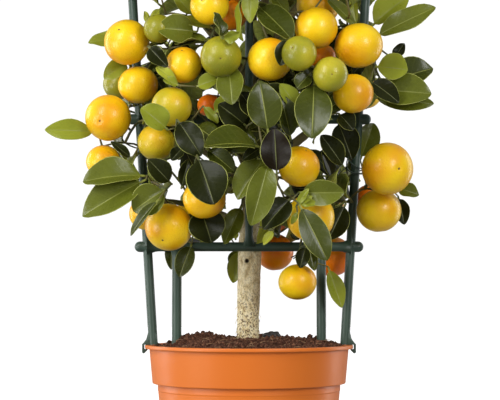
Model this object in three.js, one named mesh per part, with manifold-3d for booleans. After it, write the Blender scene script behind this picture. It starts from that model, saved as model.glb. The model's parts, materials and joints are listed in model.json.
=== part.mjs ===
// A calamondin orange tree in its nursery pot, tied to a moulded trellis that clips on the rim.
// Millimetres, +Z up, front towards -Y. The origin is the middle of the pot's flat underside.

import * as THREE from "three";
import { mergeVertices } from "three/addons/utils/BufferGeometryUtils.js";
import Module from "manifold-3d";

const wasm = await Module();
wasm.setup();

// ------------------------------------------------------------------ driving dimensions

// Left between neighbouring solids.
const GAP = 0.3;

// Slivers shorter than this are closed up where solids are joined or cut.
const SMALLEST_EDGE = 0.12;

// Pot: outer radii from the base up to the rim, wall and floor thickness.
const POT_SIDES = 24;
const POT_HEIGHT = 130;
const BASE_RADIUS = 65.5;
const STEP_HEIGHT = 99;
const STEP_RADIUS = 74.5;
const BAND_RADIUS = 78.8;
const BAND_TOP_RADIUS = 81.4;
const LIP_RADIUS = 85;
const LIP_DEPTH = 2.9;
const WALL = 1.8;
const FLOOR = 2.5;

// Peat: heaped towards the foot of the trunk, which stands on a flat seat.
const SOIL_SIDES = 18;
const SOIL_EDGE = 126.5;
const SOIL_SEAT = 134;
const SOIL_RINGS = [67, 52, 37, 24];
const SEAT_RADIUS = 13;
const LUMP_HEIGHT = 1.8;

// Trunk: from the flat cut on the soil to its fork.
const TRUNK_FOOT = new THREE.Vector3(-1, 8.5, SOIL_SEAT + GAP);
const TRUNK_FORK = new THREE.Vector3(0, 9, 250);
const TRUNK_SIDES = 12;
const TRUNK_STEPS = 10;
const TRUNK_RADIUS = 8.3;
const TRUNK_SWELL = 1.2;
const FORK_RADIUS = 7.4;
const FLARE = 2.4;
const FLARE_HEIGHT = 9;

// Trellis: splayed legs, two short uprights in the soil, a middle upright and four rungs.
const TRELLIS_Y = -6;
const TRELLIS_TOP = 560;
const LEG_X = 78;
const LEG_FOOT = POT_HEIGHT + 0.4;
const LEG_SPLAY = 0.0648;
const LEG_RADIUS = 3.75;
const INNER_X = 59;
const INNER_RADIUS = 3.9;
const INNER_FOOT = 60;
const MIDDLE_RADIUS = 3.25;
const RUNG_RADIUS = 3.5;
const RUNG_FIRST = 210;
const RUNG_SPACING = 105;
const RUNG_COUNT = 4;
const KNOB_RADIUS = 4.2;
const KNOB_REACH = 10.5;
const CLIP_WIDTH = 6;
const CLIP_THICKNESS = 1.5;
const BAR_SIDES = 8;

// Crown: an upright egg that every leaf stays inside.
const CROWN_MIDDLE = 385;
const CROWN_HALF_HEIGHT = 235;
const CROWN_RADIUS = 172;
const CROWN_DEPTH = 0.88;

// Masses: name, the middle of its space, the limb its bough leaves from and at what height, the
// point the bough bends towards, its radius there, and how many fruit hang where the front doesn't
// show them.
const MASSES = [
  ["top", [0, 8, 566], "trunk", 250, [3, 10, 400], 7.1, 3],
  ["low_left", [-92, -50, 246], "trunk", 222, [-44, 6, 252], 4.6, 0],
  ["low_right", [92, -48, 242], "trunk", 229, [44, 6, 256], 4.6, 0],
  ["low_front", [0, -84, 266], "trunk", 240, [26, -14, 264], 4.2, 0],
  ["low_back_left", [-62, 80, 246], "trunk", 218, [-26, 40, 250], 4.2, 2],
  ["low_back_right", [64, 82, 258], "trunk", 233, [26, 42, 258], 4.2, 2],
  ["mid_left", [-114, 10, 342], "top", 262, [-70, 14, 318], 5.2, 1],
  ["mid_right", [114, 10, 360], "top", 268, [70, 14, 322], 5.2, 1],
  ["mid_front", [4, -94, 362], "top", 272, [-27, -15, 318], 4.8, 0],
  ["mid_back", [0, 104, 354], "top", 285, [4, 52, 342], 4.8, 4],
  ["upper_left", [-92, 8, 450], "top", 345, [-50, 12, 420], 4.4, 3],
  ["upper_right", [94, 10, 476], "top", 360, [52, 12, 430], 4.4, 3],
  ["upper_front", [0, -82, 468], "top", 372, [25, -12, 420], 4.2, 4],
  ["upper_back", [0, 90, 484], "top", 380, [-3, 50, 440], 4.2, 3],
].map(([name, site, from, at, bend, girth, unseenFruit]) => {
  const middle = new THREE.Vector3(...site);
  const grown = { fruits: [], sprays: [], twigs: [], leaves: [], roots: [] };
  return { name, middle, from, at, bend: new THREE.Vector3(...bend), girth, unseenFruit, ...grown };
});
const STEM_TIP_RADIUS = 1.7;
const BOUGH_END_RADIUS = 3;
const LEAST_BOUGH = 0.45;
const BOUGH_SIDES = 6;
const BOUGH_STEPS = 4;
const LEADER_STEPS = 8;
const CELL_MARGIN = 0.4;
const LEAST_ROOM = 13;

// Fruit on the front of the crown: centre x, y, z and diameter.
const FRONT_FRUIT = [
  [-97, -62, 370, 36], [-88, -50, 337, 32], [-110, -52, 309, 36], [-74, -82, 376, 24],
  [-50, -92, 346, 28], [-21, -112, 349, 31], [-59, -92, 314, 31], [-106, -20, 342, 26],
  [-30, -98, 391, 30], [-14, -68, 390, 26], [-32, -64, 324, 22], [-72, -70, 289, 29],
  [-116, -40, 277, 28], [-62, -72, 223, 37], [-34, -88, 244, 33], [-83, -28, 236, 27],
  [51, -100, 373, 33], [54, -70, 397, 34], [84, -92, 361, 37], [16, -106, 348, 34],
  [37, -132, 348, 26], [60, -129, 333, 26], [79, -99, 323, 31], [58, -62, 357, 21],
  [38, -94, 268, 32], [108, -64, 269, 41], [104, -34, 238, 36], [47, -84, 230, 37],
  [74, 28, 203, 35], [40, -34, 180, 30], [23, 42, 208, 31], [93, 14, 257, 21],
];
const FRUIT_DIAMETERS = [28, 37];
const STALK_SINK = 0.68;
const FRUIT_CLEAR = 1.5;

// Sprays of leaves on the front of the crown: the twig tip x, y, z they spring from, the way they
// point and the angle they fan over in degrees (0 right, 90 up), their number and their length.
const FRONT_SPRAYS = [
  [-80, -92, 268, 224, 66, 4, 54], [10, -114, 291, 222, 70, 3, 50], [12, -112, 298, 88, 24, 2, 44],
  [-44, -104, 296, 290, 16, 2, 44], [46, -122, 322, 267, 20, 1, 50], [42, -106, 246, 296, 30, 2, 52],
  [34, -106, 247, 20, 60, 2, 42], [58, -86, 286, 294, 20, 1, 54], [104, -72, 340, 6, 40, 3, 50],
  [106, -64, 384, 30, 40, 3, 48], [-104, -36, 374, 200, 50, 2, 36], [-72, -80, 398, 330, 40, 2, 42],
  [-8, -96, 328, 246, 30, 2, 40], [2, -90, 388, 310, 50, 3, 44], [126, -38, 252, 300, 50, 3, 36],
  [66, -60, 196, 279, 16, 1, 42], [-60, 18, 208, 262, 50, 3, 38], [-16, 24, 206, 258, 30, 2, 40],
  [62, -96, 300, 305, 30, 2, 36], [-74, -104, 330, 20, 50, 2, 36], [-134, -28, 306, 190, 40, 2, 44],
];

// Twigs, which swell towards the node at their tip, and leaves. A leaf has 8 faces and stands for
// more than one, so it is larger and thicker than life.
const TWIGS_PER_MASS = 5;
const FRUIT_PER_TWIG_LESS = 5;
const TWIG_RADIUS = 0.8;
const TWIG_NODE_RADIUS = 1.7;
const TWIG_SIDES = 3;
const STEM_SIDES = 4;
const STEM_STEPS = 3;
const LEAVES_PER_TWIG = 3;
const LEAVES_BY_FRUIT = 2;
const LEAF_TRIES = 18;
const LEAF_SIZES = [1, 0.85, 0.7];
const LEAF_LENGTH = 60;
const LEAF_WIDTH = 0.55;
const LEAF_THICKNESS = 1.6;
const LEAF_FOLD = 3;
const ROOT_EDGE = 0.7;
const WIDEST = 0.44;
const GOLDEN_ANGLE = THREE.MathUtils.degToRad(137.5);
const THIRD = (2 * Math.PI) / 3;
const FACE_SLACK = THREE.MathUtils.degToRad(22);

// ------------------------------------------------------------------ solids

// A closed geometry as a solid that can be joined and cut.
function solid(geometry) {
  const bare = new THREE.BufferGeometry();
  bare.setAttribute("position", geometry.attributes.position);
  bare.setIndex(geometry.index);
  const welded = mergeVertices(bare, 1e-4);
  return new wasm.Manifold(new wasm.Mesh({
    numProp: 3,
    vertProperties: new Float32Array(welded.attributes.position.array),
    triVerts: new Uint32Array(welded.index.array),
  }));
}

// A named mesh of the largest single body of a solid, without its scraps and sealed hollows.
function meshOf(name, body, material) {
  const bodies = body.simplify(SMALLEST_EDGE).decompose();
  bodies.sort((a, b) => b.volume() - a.volume());
  const { vertProperties, triVerts } = bodies[0].getMesh();
  const geometry = new THREE.BufferGeometry();
  geometry.setAttribute("position", new THREE.BufferAttribute(vertProperties, 3));
  geometry.setIndex(new THREE.BufferAttribute(triVerts, 1));
  geometry.computeVertexNormals();
  const mesh = new THREE.Mesh(geometry, material);
  mesh.name = name;
  return mesh;
}

function finish(colour, roughness) {
  return new THREE.MeshStandardMaterial({ color: colour, roughness, metalness: 0 });
}

// A cylinder whose rings are carried along a curve, from one end radius to the other.
function limb(curve, radiusAt, sides, steps) {
  const geometry = new THREE.CylinderGeometry(1, 1, 1, sides, steps);
  const across = leastAlong(curve.getPoint(1).sub(curve.getPoint(0)));
  const place = geometry.attributes.position;
  for (let i = 0; i < place.count; i += 1) {
    const along = place.getY(i) + 0.5;
    const tangent = curve.getTangent(along);
    const normal = squareTo(across, tangent);
    const binormal = new THREE.Vector3().crossVectors(tangent, normal);
    const radius = radiusAt(along);
    const point = curve.getPoint(along);
    point.addScaledVector(binormal, place.getX(i) * radius);
    point.addScaledVector(normal, place.getZ(i) * radius);
    place.setXYZ(i, point.x, point.y, point.z);
  }
  return solid(geometry);
}

// The axis that a direction runs least along.
function leastAlong(direction) {
  const [x, y, z] = direction.toArray().map(Math.abs);
  if (x <= y && x <= z) return new THREE.Vector3(1, 0, 0);
  return y <= z ? new THREE.Vector3(0, 1, 0) : new THREE.Vector3(0, 0, 1);
}

// The part of a vector that is square to a unit direction, as a unit vector.
function squareTo(vector, direction) {
  return vector.clone().addScaledVector(direction, -vector.dot(direction)).normalize();
}

function straight(from, to) {
  return new THREE.LineCurve3(new THREE.Vector3(...from), new THREE.Vector3(...to));
}

// ------------------------------------------------------------------ pot and soil

function pot() {
  const lip = POT_HEIGHT - LIP_DEPTH;
  const profile = [
    [0, 0], [BASE_RADIUS, 0], [STEP_RADIUS, STEP_HEIGHT], [BAND_RADIUS, STEP_HEIGHT],
    [BAND_TOP_RADIUS, lip], [LIP_RADIUS, lip], [LIP_RADIUS, POT_HEIGHT],
    [BAND_TOP_RADIUS - WALL, POT_HEIGHT],
    [BAND_RADIUS - WALL, STEP_HEIGHT + WALL], [STEP_RADIUS - WALL, STEP_HEIGHT - WALL],
    [BASE_RADIUS - WALL, FLOOR], [0, FLOOR],
  ].map(([r, z]) => new THREE.Vector2(r, z));
  const wall = new THREE.LatheGeometry(profile, POT_SIDES);
  wall.rotateX(Math.PI / 2);
  return solid(wall);
}

// Height of the heaped peat at a place, with lumps that die out at the seat and the wall.
function soilHeight(x, y) {
  const outward = Math.hypot(x, y) / BAND_TOP_RADIUS;
  const heap = SOIL_EDGE + (SOIL_SEAT - SOIL_EDGE) * (1 - outward ** 3);
  const fromSeat = Math.hypot(x - TRUNK_FOOT.x, y - TRUNK_FOOT.y);
  const free = THREE.MathUtils.smoothstep(fromSeat, SEAT_RADIUS, 2.5 * SEAT_RADIUS);
  const lumps = Math.sin(x * 0.19 + 1.3) * Math.cos(y * 0.16) + 0.7 * Math.sin(x * 0.08 - y * 0.21);
  const height = heap + free * LUMP_HEIGHT * lumps * (1 - outward ** 6) - (1 - free) * 0.2;
  return fromSeat <= SEAT_RADIUS ? SOIL_SEAT : Math.min(height, SOIL_SEAT + 2 * free);
}

function soil() {
  const slack = WALL + 0.6;
  const profile = [
    [0, FLOOR + 0.4], [BASE_RADIUS - slack - 0.4, FLOOR + 0.4],
    [STEP_RADIUS - slack, STEP_HEIGHT - WALL], [BAND_RADIUS - slack, STEP_HEIGHT + WALL],
    [BAND_TOP_RADIUS - slack - 0.6, SOIL_EDGE],
    ...SOIL_RINGS.map((ring) => [ring, SOIL_SEAT]), [SEAT_RADIUS - 1, SOIL_SEAT], [0, SOIL_SEAT],
  ].map(([r, z]) => new THREE.Vector2(r, z));
  const heap = new THREE.LatheGeometry(profile, SOIL_SIDES);
  heap.rotateX(Math.PI / 2);
  const place = heap.attributes.position;
  for (let i = 0; i < place.count; i += 1) {
    if (place.getZ(i) < SOIL_SEAT - 0.01) continue;
    const towardsTrunk = 1 - Math.hypot(place.getX(i), place.getY(i)) / BAND_TOP_RADIUS;
    const x = place.getX(i) + TRUNK_FOOT.x * towardsTrunk;
    const y = place.getY(i) + TRUNK_FOOT.y * towardsTrunk;
    place.setXYZ(i, x, y, soilHeight(x, y));
  }
  let body = solid(heap);
  for (const side of [-1, 1]) {
    const pocket = [side * INNER_X, TRELLIS_Y];
    const hole = straight([...pocket, INNER_FOOT - GAP], [...pocket, POT_HEIGHT + 20]);
    body = body.subtract(limb(hole, () => INNER_RADIUS + GAP, BAR_SIDES, 1));
  }
  return body;
}

// ------------------------------------------------------------------ trellis

function legX(z) {
  return LEG_X + LEG_SPLAY * (z - POT_HEIGHT);
}

function rungZ(i) {
  return RUNG_FIRST + i * RUNG_SPACING;
}

// The trellis bars: name, the line each runs along and its radius.
function trellisBars() {
  const bars = [];
  const bar = (name, from, to, radius) => bars.push({ name, line: straight(from, to), radius });
  for (const [side, sign] of [["left", -1], ["right", 1]]) {
    const top = [sign * legX(TRELLIS_TOP), TRELLIS_Y, TRELLIS_TOP];
    bar(`trellis_leg_${side}`, [sign * legX(LEG_FOOT), TRELLIS_Y, LEG_FOOT], top, LEG_RADIUS);
    const stop = RUNG_FIRST - RUNG_RADIUS - GAP;
    bar(`trellis_inner_${side}`, [sign * INNER_X, TRELLIS_Y, INNER_FOOT],
      [sign * INNER_X, TRELLIS_Y, stop], INNER_RADIUS);
    for (let i = 1; i < RUNG_COUNT; i += 1) {
      const z = rungZ(i);
      bar(`trellis_rung_${i + 1}_${side}`, [sign * (MIDDLE_RADIUS + GAP), TRELLIS_Y, z],
        [sign * (legX(z) - LEG_RADIUS - 2 * GAP), TRELLIS_Y, z], RUNG_RADIUS);
    }
  }
  const end = legX(RUNG_FIRST) - LEG_RADIUS - 2 * GAP;
  bar("trellis_rung_1", [-end, TRELLIS_Y, RUNG_FIRST], [end, TRELLIS_Y, RUNG_FIRST], RUNG_RADIUS);
  bar("trellis_middle", [0, TRELLIS_Y, RUNG_FIRST + RUNG_RADIUS + GAP],
    [0, TRELLIS_Y, TRELLIS_TOP], MIDDLE_RADIUS);
  return bars;
}

// The clip at a leg's foot: a strip that runs out over the lip and hooks in under it.
function clip(sign) {
  const outside = LIP_RADIUS + 0.5 + CLIP_THICKNESS;
  const under = POT_HEIGHT - LIP_DEPTH - 0.5;
  const outline = [
    [LEG_X - 3, LEG_FOOT], [LIP_RADIUS + 0.5, LEG_FOOT], [LIP_RADIUS + 0.5, under],
    [BAND_TOP_RADIUS + 0.8, under], [BAND_TOP_RADIUS + 1.2, under - 1.4],
    [outside - 1.2, under - 3.6], [outside, under - 2.6], [outside, LEG_FOOT + 1],
    [LEG_X + LEG_RADIUS + 0.2, LEG_FOOT + 9], [LEG_X - 2, LEG_FOOT + 9],
  ].map(([x, z]) => new THREE.Vector2(x, z));
  const strip = new THREE.ExtrudeGeometry(new THREE.Shape(outline), {
    depth: CLIP_WIDTH, bevelEnabled: false,
  });
  strip.rotateX(Math.PI / 2);
  strip.translate(0, TRELLIS_Y + CLIP_WIDTH / 2, 0);
  if (sign < 0) strip.rotateZ(Math.PI).translate(0, 2 * TRELLIS_Y, 0);
  return solid(strip);
}

// A bar's solid; a leg also carries its clip and the knob where each rung's end comes through.
function trellisBar({ name, line, radius }) {
  let body = limb(line, () => radius, BAR_SIDES, 1);
  if (!name.includes("leg")) return body;
  const sign = name.endsWith("left") ? -1 : 1;
  body = body.add(clip(sign));
  for (let i = 0; i < RUNG_COUNT; i += 1) {
    const [x, z] = [legX(rungZ(i)), rungZ(i)];
    const knob = straight([sign * x, TRELLIS_Y, z], [sign * (x + KNOB_REACH), TRELLIS_Y, z]);
    body = body.add(limb(knob, (along) => KNOB_RADIUS - along, 6, 1));
  }
  return body;
}

// ------------------------------------------------------------------ trunk, boughs and stems

function trunkRadius(along) {
  const height = along * (TRUNK_FORK.z - TRUNK_FOOT.z);
  const swell = TRUNK_SWELL * Math.sin(Math.PI * Math.min(along, 0.75));
  const narrow = TRUNK_RADIUS + TRUNK_SWELL - FORK_RADIUS;
  const narrowing = THREE.MathUtils.smoothstep(along, 0.72, 1) * narrow;
  return TRUNK_RADIUS + swell - narrowing + FLARE * Math.exp(-height / FLARE_HEIGHT);
}

function trunkCurve() {
  const lean = new THREE.Vector3(-2.2, 8, (TRUNK_FOOT.z + TRUNK_FORK.z) / 2);
  return new THREE.QuadraticBezierCurve3(TRUNK_FOOT, lean, TRUNK_FORK);
}

// The point of a rising limb's centre line at a height.
function pointAtHeight(curve, z) {
  let low = 0;
  let high = 1;
  for (let i = 0; i < 30; i += 1) {
    const middle = (low + high) / 2;
    if (curve.getPoint(middle).z < z) low = middle;
    else high = middle;
  }
  return curve.getPoint(low);
}

// How far inside its own mass's space a point lies; the spaces meet halfway between the sites.
function roomInCell(point, mass) {
  let room = Infinity;
  for (const other of MASSES) {
    if (other === mass) continue;
    const apart = mass.middle.distanceTo(other.middle);
    const lead = point.distanceToSquared(other.middle) - point.distanceToSquared(mass.middle);
    room = Math.min(room, lead / (2 * apart));
  }
  return room;
}

// 0 at the crown's middle line, 1 on its outline.
function crownShare(point) {
  const z = (point.z - CROWN_MIDDLE) / CROWN_HALF_HEIGHT;
  const x = point.x / CROWN_RADIUS;
  const y = point.y / (CROWN_RADIUS * CROWN_DEPTH);
  return Math.sqrt(x * x + y * y + z * z);
}

// Each limb runs from its parent to the middle of its mass: up to where it enters the mass's
// space it is the bough, and from there on it is the mass's stem.
function layOutLimbs() {
  const trunk = trunkCurve();
  for (const mass of MASSES) {
    const leader = MASSES.find((other) => other.name === mass.from);
    const parent = leader ? leader.way : trunk;
    const start = pointAtHeight(parent, mass.at);
    if (mass.name === "top") start.z += GAP;
    mass.way = new THREE.QuadraticBezierCurve3(start, mass.bend, mass.middle);
    mass.entry = 1;
    while (mass.entry > LEAST_BOUGH && roomInCell(mass.way.getPoint(mass.entry), mass) > 4) {
      mass.entry -= 0.005;
    }
    const hundredth = mass.way.getPoint(mass.entry).distanceTo(mass.way.getPoint(mass.entry - 0.01));
    mass.stemStart = mass.entry + (0.01 * GAP) / hundredth;
  }
}

function part(curve, from, to) {
  const piece = new THREE.Curve();
  piece.getPoint = (t) => curve.getPoint(THREE.MathUtils.lerp(from, to, t));
  piece.getTangent = (t) => curve.getTangent(THREE.MathUtils.lerp(from, to, t));
  return piece;
}

// A curve as straight stretches between evenly spaced points of it.
function inSteps(curve, steps) {
  const corners = Array.from({ length: steps + 1 }, (unused, i) => curve.getPoint(i / steps));
  const stretches = new THREE.Curve();
  stretches.getPoint = (t) => {
    const step = Math.min(Math.floor(t * steps), steps - 1);
    return corners[step].clone().lerp(corners[step + 1], t * steps - step);
  };
  return stretches;
}

function boughOf(mass, extra) {
  const radiusAt = (along) => THREE.MathUtils.lerp(mass.girth, BOUGH_END_RADIUS, along) + extra;
  const steps = mass.name === "top" ? LEADER_STEPS : BOUGH_STEPS;
  return limb(part(mass.way, 0, mass.entry), radiusAt, BOUGH_SIDES, steps);
}

// ------------------------------------------------------------------ growth

// What growth keeps clear of, as balls along each thing: wood, fruit, twigs and leaves.
const balls = [];

function addBall(point, radius, kind, owner) {
  balls.push({ x: point.x, y: point.y, z: point.z, radius, kind, owner });
}

function addBallsAlong(curve, radiusAt, spacing, kind, owner) {
  const count = Math.ceil(curve.getPoint(0).distanceTo(curve.getPoint(1)) * 1.1 / spacing);
  for (let i = 0; i <= count; i += 1) {
    addBall(curve.getPoint(i / count), radiusAt(i / count), kind, owner);
  }
}

// Whether a ball about a point is clear of all others, by the room that each of them asks.
function isClear(point, radius, roomFor) {
  for (const ball of balls) {
    const room = roomFor(ball);
    if (room === null) continue;
    const reach = ball.radius + radius + room;
    const x = ball.x - point.x;
    const y = ball.y - point.y;
    const z = ball.z - point.z;
    if (x * x + y * y + z * z < reach * reach) return false;
  }
  return true;
}

// A repeatable stream of numbers from 0 to 1.
function seeded(seed) {
  let state = seed >>> 0;
  return () => {
    state = (Math.imul(state, 1664525) + 1013904223) >>> 0;
    return state / 4294967296;
  };
}

// A point of a mass's space, drawn near the crown's outline or anywhere inside it.
function placeInMass(mass, random, spread, least, most) {
  for (let i = 0; i < 400; i += 1) {
    const step = () => (2 * random() - 1) * spread;
    const point = mass.middle.clone().add(new THREE.Vector3(step(), step(), step()));
    const share = crownShare(point);
    if (share >= least && share <= most && roomInCell(point, mass) > LEAST_ROOM) return point;
  }
  return null;
}

function nearestMass(point) {
  const order = [...MASSES].sort((a, b) => a.middle.distanceTo(point) - b.middle.distanceTo(point));
  return order[0];
}

function hangFruit(mass, centre, radius) {
  const fruit = { centre, radius };
  mass.fruits.push(fruit);
  addBall(centre, radius, "fruit", fruit);
}

function layOutFruit() {
  for (const [x, y, z, diameter] of FRONT_FRUIT) {
    const centre = new THREE.Vector3(x, y, z);
    hangFruit(nearestMass(centre), centre, diameter / 2);
  }
  MASSES.forEach((mass, index) => {
    const random = seeded(905 + 17 * index);
    for (let i = 0, tries = 0; i < mass.unseenFruit && tries < 200; tries += 1) {
      const centre = placeInMass(mass, random, 90, 0.72, 0.86);
      const radius = THREE.MathUtils.lerp(...FRUIT_DIAMETERS, random()) / 2;
      const unseen = centre && !(centre.y < -30 && centre.z < 400);
      const roomFor = (ball) => (ball.kind === "fruit" ? 4 : FRUIT_CLEAR);
      if (!unseen || !isClear(centre, radius, roomFor)) continue;
      hangFruit(mass, centre, radius);
      i += 1;
    }
  });
}

// The ways a twig may bend round what stands in its way, as shares of its length.
const BOWS = [[0, 0, 0], [0, 0, 0.22], [0.2, 0, 0.1], [-0.2, 0, 0.1], [0, 0.2, 0.1], [0, -0.2, 0.1],
  [0.3, 0, -0.1], [-0.3, 0, -0.1], [0, 0.3, -0.1], [0, -0.3, -0.1], [0, 0, 0.45]];

// Grows a twig to a tip from the nearest place of the mass's wood that gives it a clear way.
function growTwig(mass, tip, fruit) {
  const roots = [...mass.roots].sort((a, b) => a.distanceTo(tip) - b.distanceTo(tip)).slice(0, 60);
  const roomFor = (ball) => {
    if (ball.owner === mass || (fruit && ball.owner === fruit)) return null;
    return ball.kind === "twig" ? 0.8 : 1;
  };
  const roomy = (point) => {
    if (fruit && point.distanceTo(fruit.centre) < fruit.radius + 6) return true;
    return roomInCell(point, mass) > TWIG_NODE_RADIUS + CELL_MARGIN;
  };
  for (const root of roots) {
    const length = root.distanceTo(tip);
    if (length < 6) continue;
    for (const bow of BOWS) {
      const bend = root.clone().lerp(tip, 0.5).addScaledVector(new THREE.Vector3(...bow), length);
      const steps = bow === BOWS[0] ? 1 : 2;
      const curve = inSteps(new THREE.QuadraticBezierCurve3(root, bend, tip), steps);
      const count = Math.ceil(length / 3);
      let open = true;
      for (let i = 1; i <= count && open; i += 1) {
        const point = curve.getPoint(i / count);
        open = roomy(point) && isClear(point, TWIG_NODE_RADIUS, roomFor);
      }
      if (!open) continue;
      for (let i = 2; i <= 6; i += 1) mass.roots.push(curve.getPoint(i / 7));
      addBallsAlong(curve, () => TWIG_NODE_RADIUS, 3.5, "twig", mass);
      const twig = { curve, steps, fruit, across: leastAlong(tip.clone().sub(root)) };
      mass.twigs.push(twig);
      return twig;
    }
  }
  return null;
}

function growTwigs() {
  for (const mass of MASSES) {
    const stem = inSteps(part(mass.way, mass.stemStart, 1), STEM_STEPS);
    mass.stem = stem;
    for (let i = 1; i <= 12; i += 1) mass.roots.push(stem.getPoint(i / 12));
    addBallsAlong(stem, () => BOUGH_END_RADIUS, 3.5, "twig", mass);
  }
  for (const mass of MASSES) {
    mass.fruits.sort((a, b) => a.centre.distanceTo(mass.middle) - b.centre.distanceTo(mass.middle));
    for (const fruit of mass.fruits) {
      const lean = mass.middle.clone().sub(fruit.centre).setZ(0).multiplyScalar(0.25);
      const stalk = lean.add(new THREE.Vector3(0, 0, fruit.radius)).setLength(fruit.radius * STALK_SINK);
      fruit.stalk = stalk;
      fruit.twig = growTwig(mass, fruit.centre.clone().add(stalk), fruit);
    }
  }
  for (const [x, y, z, heading, fan, count, length] of FRONT_SPRAYS) {
    const tip = new THREE.Vector3(x, y, z);
    const mass = nearestMass(tip);
    mass.sprays.push({ twig: growTwig(mass, tip, null), tip, heading, fan, count, length });
  }
  MASSES.forEach((mass, index) => {
    const random = seeded(101 + 31 * index);
    const twigs = TWIGS_PER_MASS - Math.floor(mass.fruits.length / FRUIT_PER_TWIG_LESS);
    for (let i = 0; i < twigs; i += 1) {
      for (let tries = 0; tries < 12; tries += 1) {
        const tip = placeInMass(mass, random, 95, i % 3 === 2 ? 0.3 : 0.62, 0.82);
        const crowded = !tip || mass.twigs.some((twig) => twig.curve.getPoint(1).distanceTo(tip) < 24);
        if (!crowded && growTwig(mass, tip, null)) break;
      }
    }
  });
}

// The points at which a leaf is tested: rows along it, each from edge to edge.
function leafPoints(leaf) {
  const points = [];
  const side = new THREE.Vector3().crossVectors(leaf.normal, leaf.direction);
  for (const along of [0.15, 0.3, 0.45, 0.6, 0.75, 0.88, 1]) {
    const half = 0.5 * leaf.width * Math.min(along / WIDEST, (1 - along) / (1 - WIDEST));
    const across = half > 4 ? [-1, -0.5, 0, 0.5, 1] : [0];
    for (const share of across) {
      const point = leaf.root.clone().addScaledVector(leaf.direction, along * leaf.length);
      point.addScaledVector(side, share * half);
      point.addScaledVector(leaf.normal, LEAF_FOLD * Math.abs(share * half) / leaf.width);
      points.push({ point, along });
    }
  }
  return points;
}

// Keeps a leaf if all of it is in its mass's space and the crown, and clear of what stands there.
function addLeaf(mass, leaf) {
  const points = leafPoints(leaf);
  const margin = CELL_MARGIN + LEAF_THICKNESS / 2;
  for (const { point, along } of points) {
    if (crownShare(point) > 1 || roomInCell(point, mass) < margin) return false;
    const open = isClear(point, LEAF_THICKNESS / 2, (ball) => {
      if (ball.kind === "leaf") return along > 0.2 ? 1.6 : null;
      if (ball.kind === "twig" && ball.owner === mass) return along > 0.35 ? 0.5 : null;
      return ball.kind === "fruit" ? FRUIT_CLEAR : 2.5;
    });
    if (!open) return false;
  }
  for (const { point } of points) addBall(point, LEAF_THICKNESS / 2, "leaf", mass);
  mass.leaves.push(leaf);
  return true;
}

// A leaf on a twig. It is turned about the twig to leave near the middle of one of its three
// faces, which lie 60, 180 and 300 degrees round from the direction that its corners start at.
function makeLeaf(twig, along, direction, facing, length) {
  const tangent = twig.curve.getTangent(along);
  const normal = squareTo(twig.across, tangent);
  const binormal = new THREE.Vector3().crossVectors(tangent, normal);
  const turn = Math.atan2(direction.dot(binormal), direction.dot(normal));
  const face = (Math.round(turn / THIRD - 0.5) + 0.5) * THIRD;
  const turned = face + THREE.MathUtils.clamp(turn - face, -FACE_SLACK, FACE_SLACK);
  const unit = direction.clone().normalize();
  const rise = unit.dot(tangent);
  const radial = Math.sqrt(1 - rise * rise);
  unit.copy(tangent).multiplyScalar(rise);
  unit.addScaledVector(normal, Math.cos(turned) * radial);
  unit.addScaledVector(binormal, Math.sin(turned) * radial);
  const root = twig.curve.getPoint(along);
  return { root, direction: unit, normal: squareTo(facing, unit), length, width: length * LEAF_WIDTH };
}

function growLeaves() {
  const front = new THREE.Vector3(0, -1, 0.35);
  for (const mass of MASSES) {
    for (const spray of mass.sprays) {
      if (!spray.twig) continue;
      for (let i = 0; i < spray.count; i += 1) {
        const turn = spray.count > 1 ? i / (spray.count - 1) - 0.5 : 0;
        for (const shift of [0, 12, -12, 24, -24, 36]) {
          const angle = THREE.MathUtils.degToRad(spray.heading + turn * spray.fan + shift);
          const direction = new THREE.Vector3(Math.cos(angle), -0.25, Math.sin(angle));
          if (addLeaf(mass, makeLeaf(spray.twig, 0.9 - 0.1 * i, direction, front, spray.length))) break;
        }
      }
    }
  }
  MASSES.forEach((mass, index) => {
    const random = seeded(501 + 13 * index);
    for (const twig of mass.twigs) growTwigLeaves(mass, twig, random);
  });
}

// Leaves stand alternately round a twig, nod a little and turn their faces out and up.
function growTwigLeaves(mass, twig, random) {
  const heart = new THREE.Vector3(0, 0, CROWN_MIDDLE - 60);
  const turnStart = random() * 2 * Math.PI;
  const last = twig.fruit ? 0.6 : 0.9;
  const count = twig.fruit ? LEAVES_BY_FRUIT : LEAVES_PER_TWIG;
  for (let i = 0; i < count; i += 1) {
    const along = last * (1 - (0.6 * i) / count);
    const tangent = twig.curve.getTangent(along);
    const outward = twig.curve.getPoint(along).sub(heart).normalize();
    const facing = outward.clone().add(new THREE.Vector3(0, 0, 0.45));
    const sideways = squareTo(leastAlong(tangent), tangent);
    const around = new THREE.Vector3().crossVectors(tangent, sideways);
    const length = LEAF_LENGTH * (0.85 + 0.3 * random());
    for (let tries = 0; tries < LEAF_TRIES; tries += 1) {
      const turn = turnStart + i * GOLDEN_ANGLE + tries * 0.9;
      const direction = tangent.clone().multiplyScalar(i === 0 && !twig.fruit ? 1 : 0.5);
      direction.addScaledVector(sideways, Math.cos(turn)).addScaledVector(around, Math.sin(turn));
      direction.addScaledVector(outward, 0.4).add(new THREE.Vector3(0, 0, -0.4));
      const size = length * LEAF_SIZES[Math.floor((3 * tries) / LEAF_TRIES)];
      if (addLeaf(mass, makeLeaf(twig, along, direction, facing, size))) break;
    }
  }
}

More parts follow.
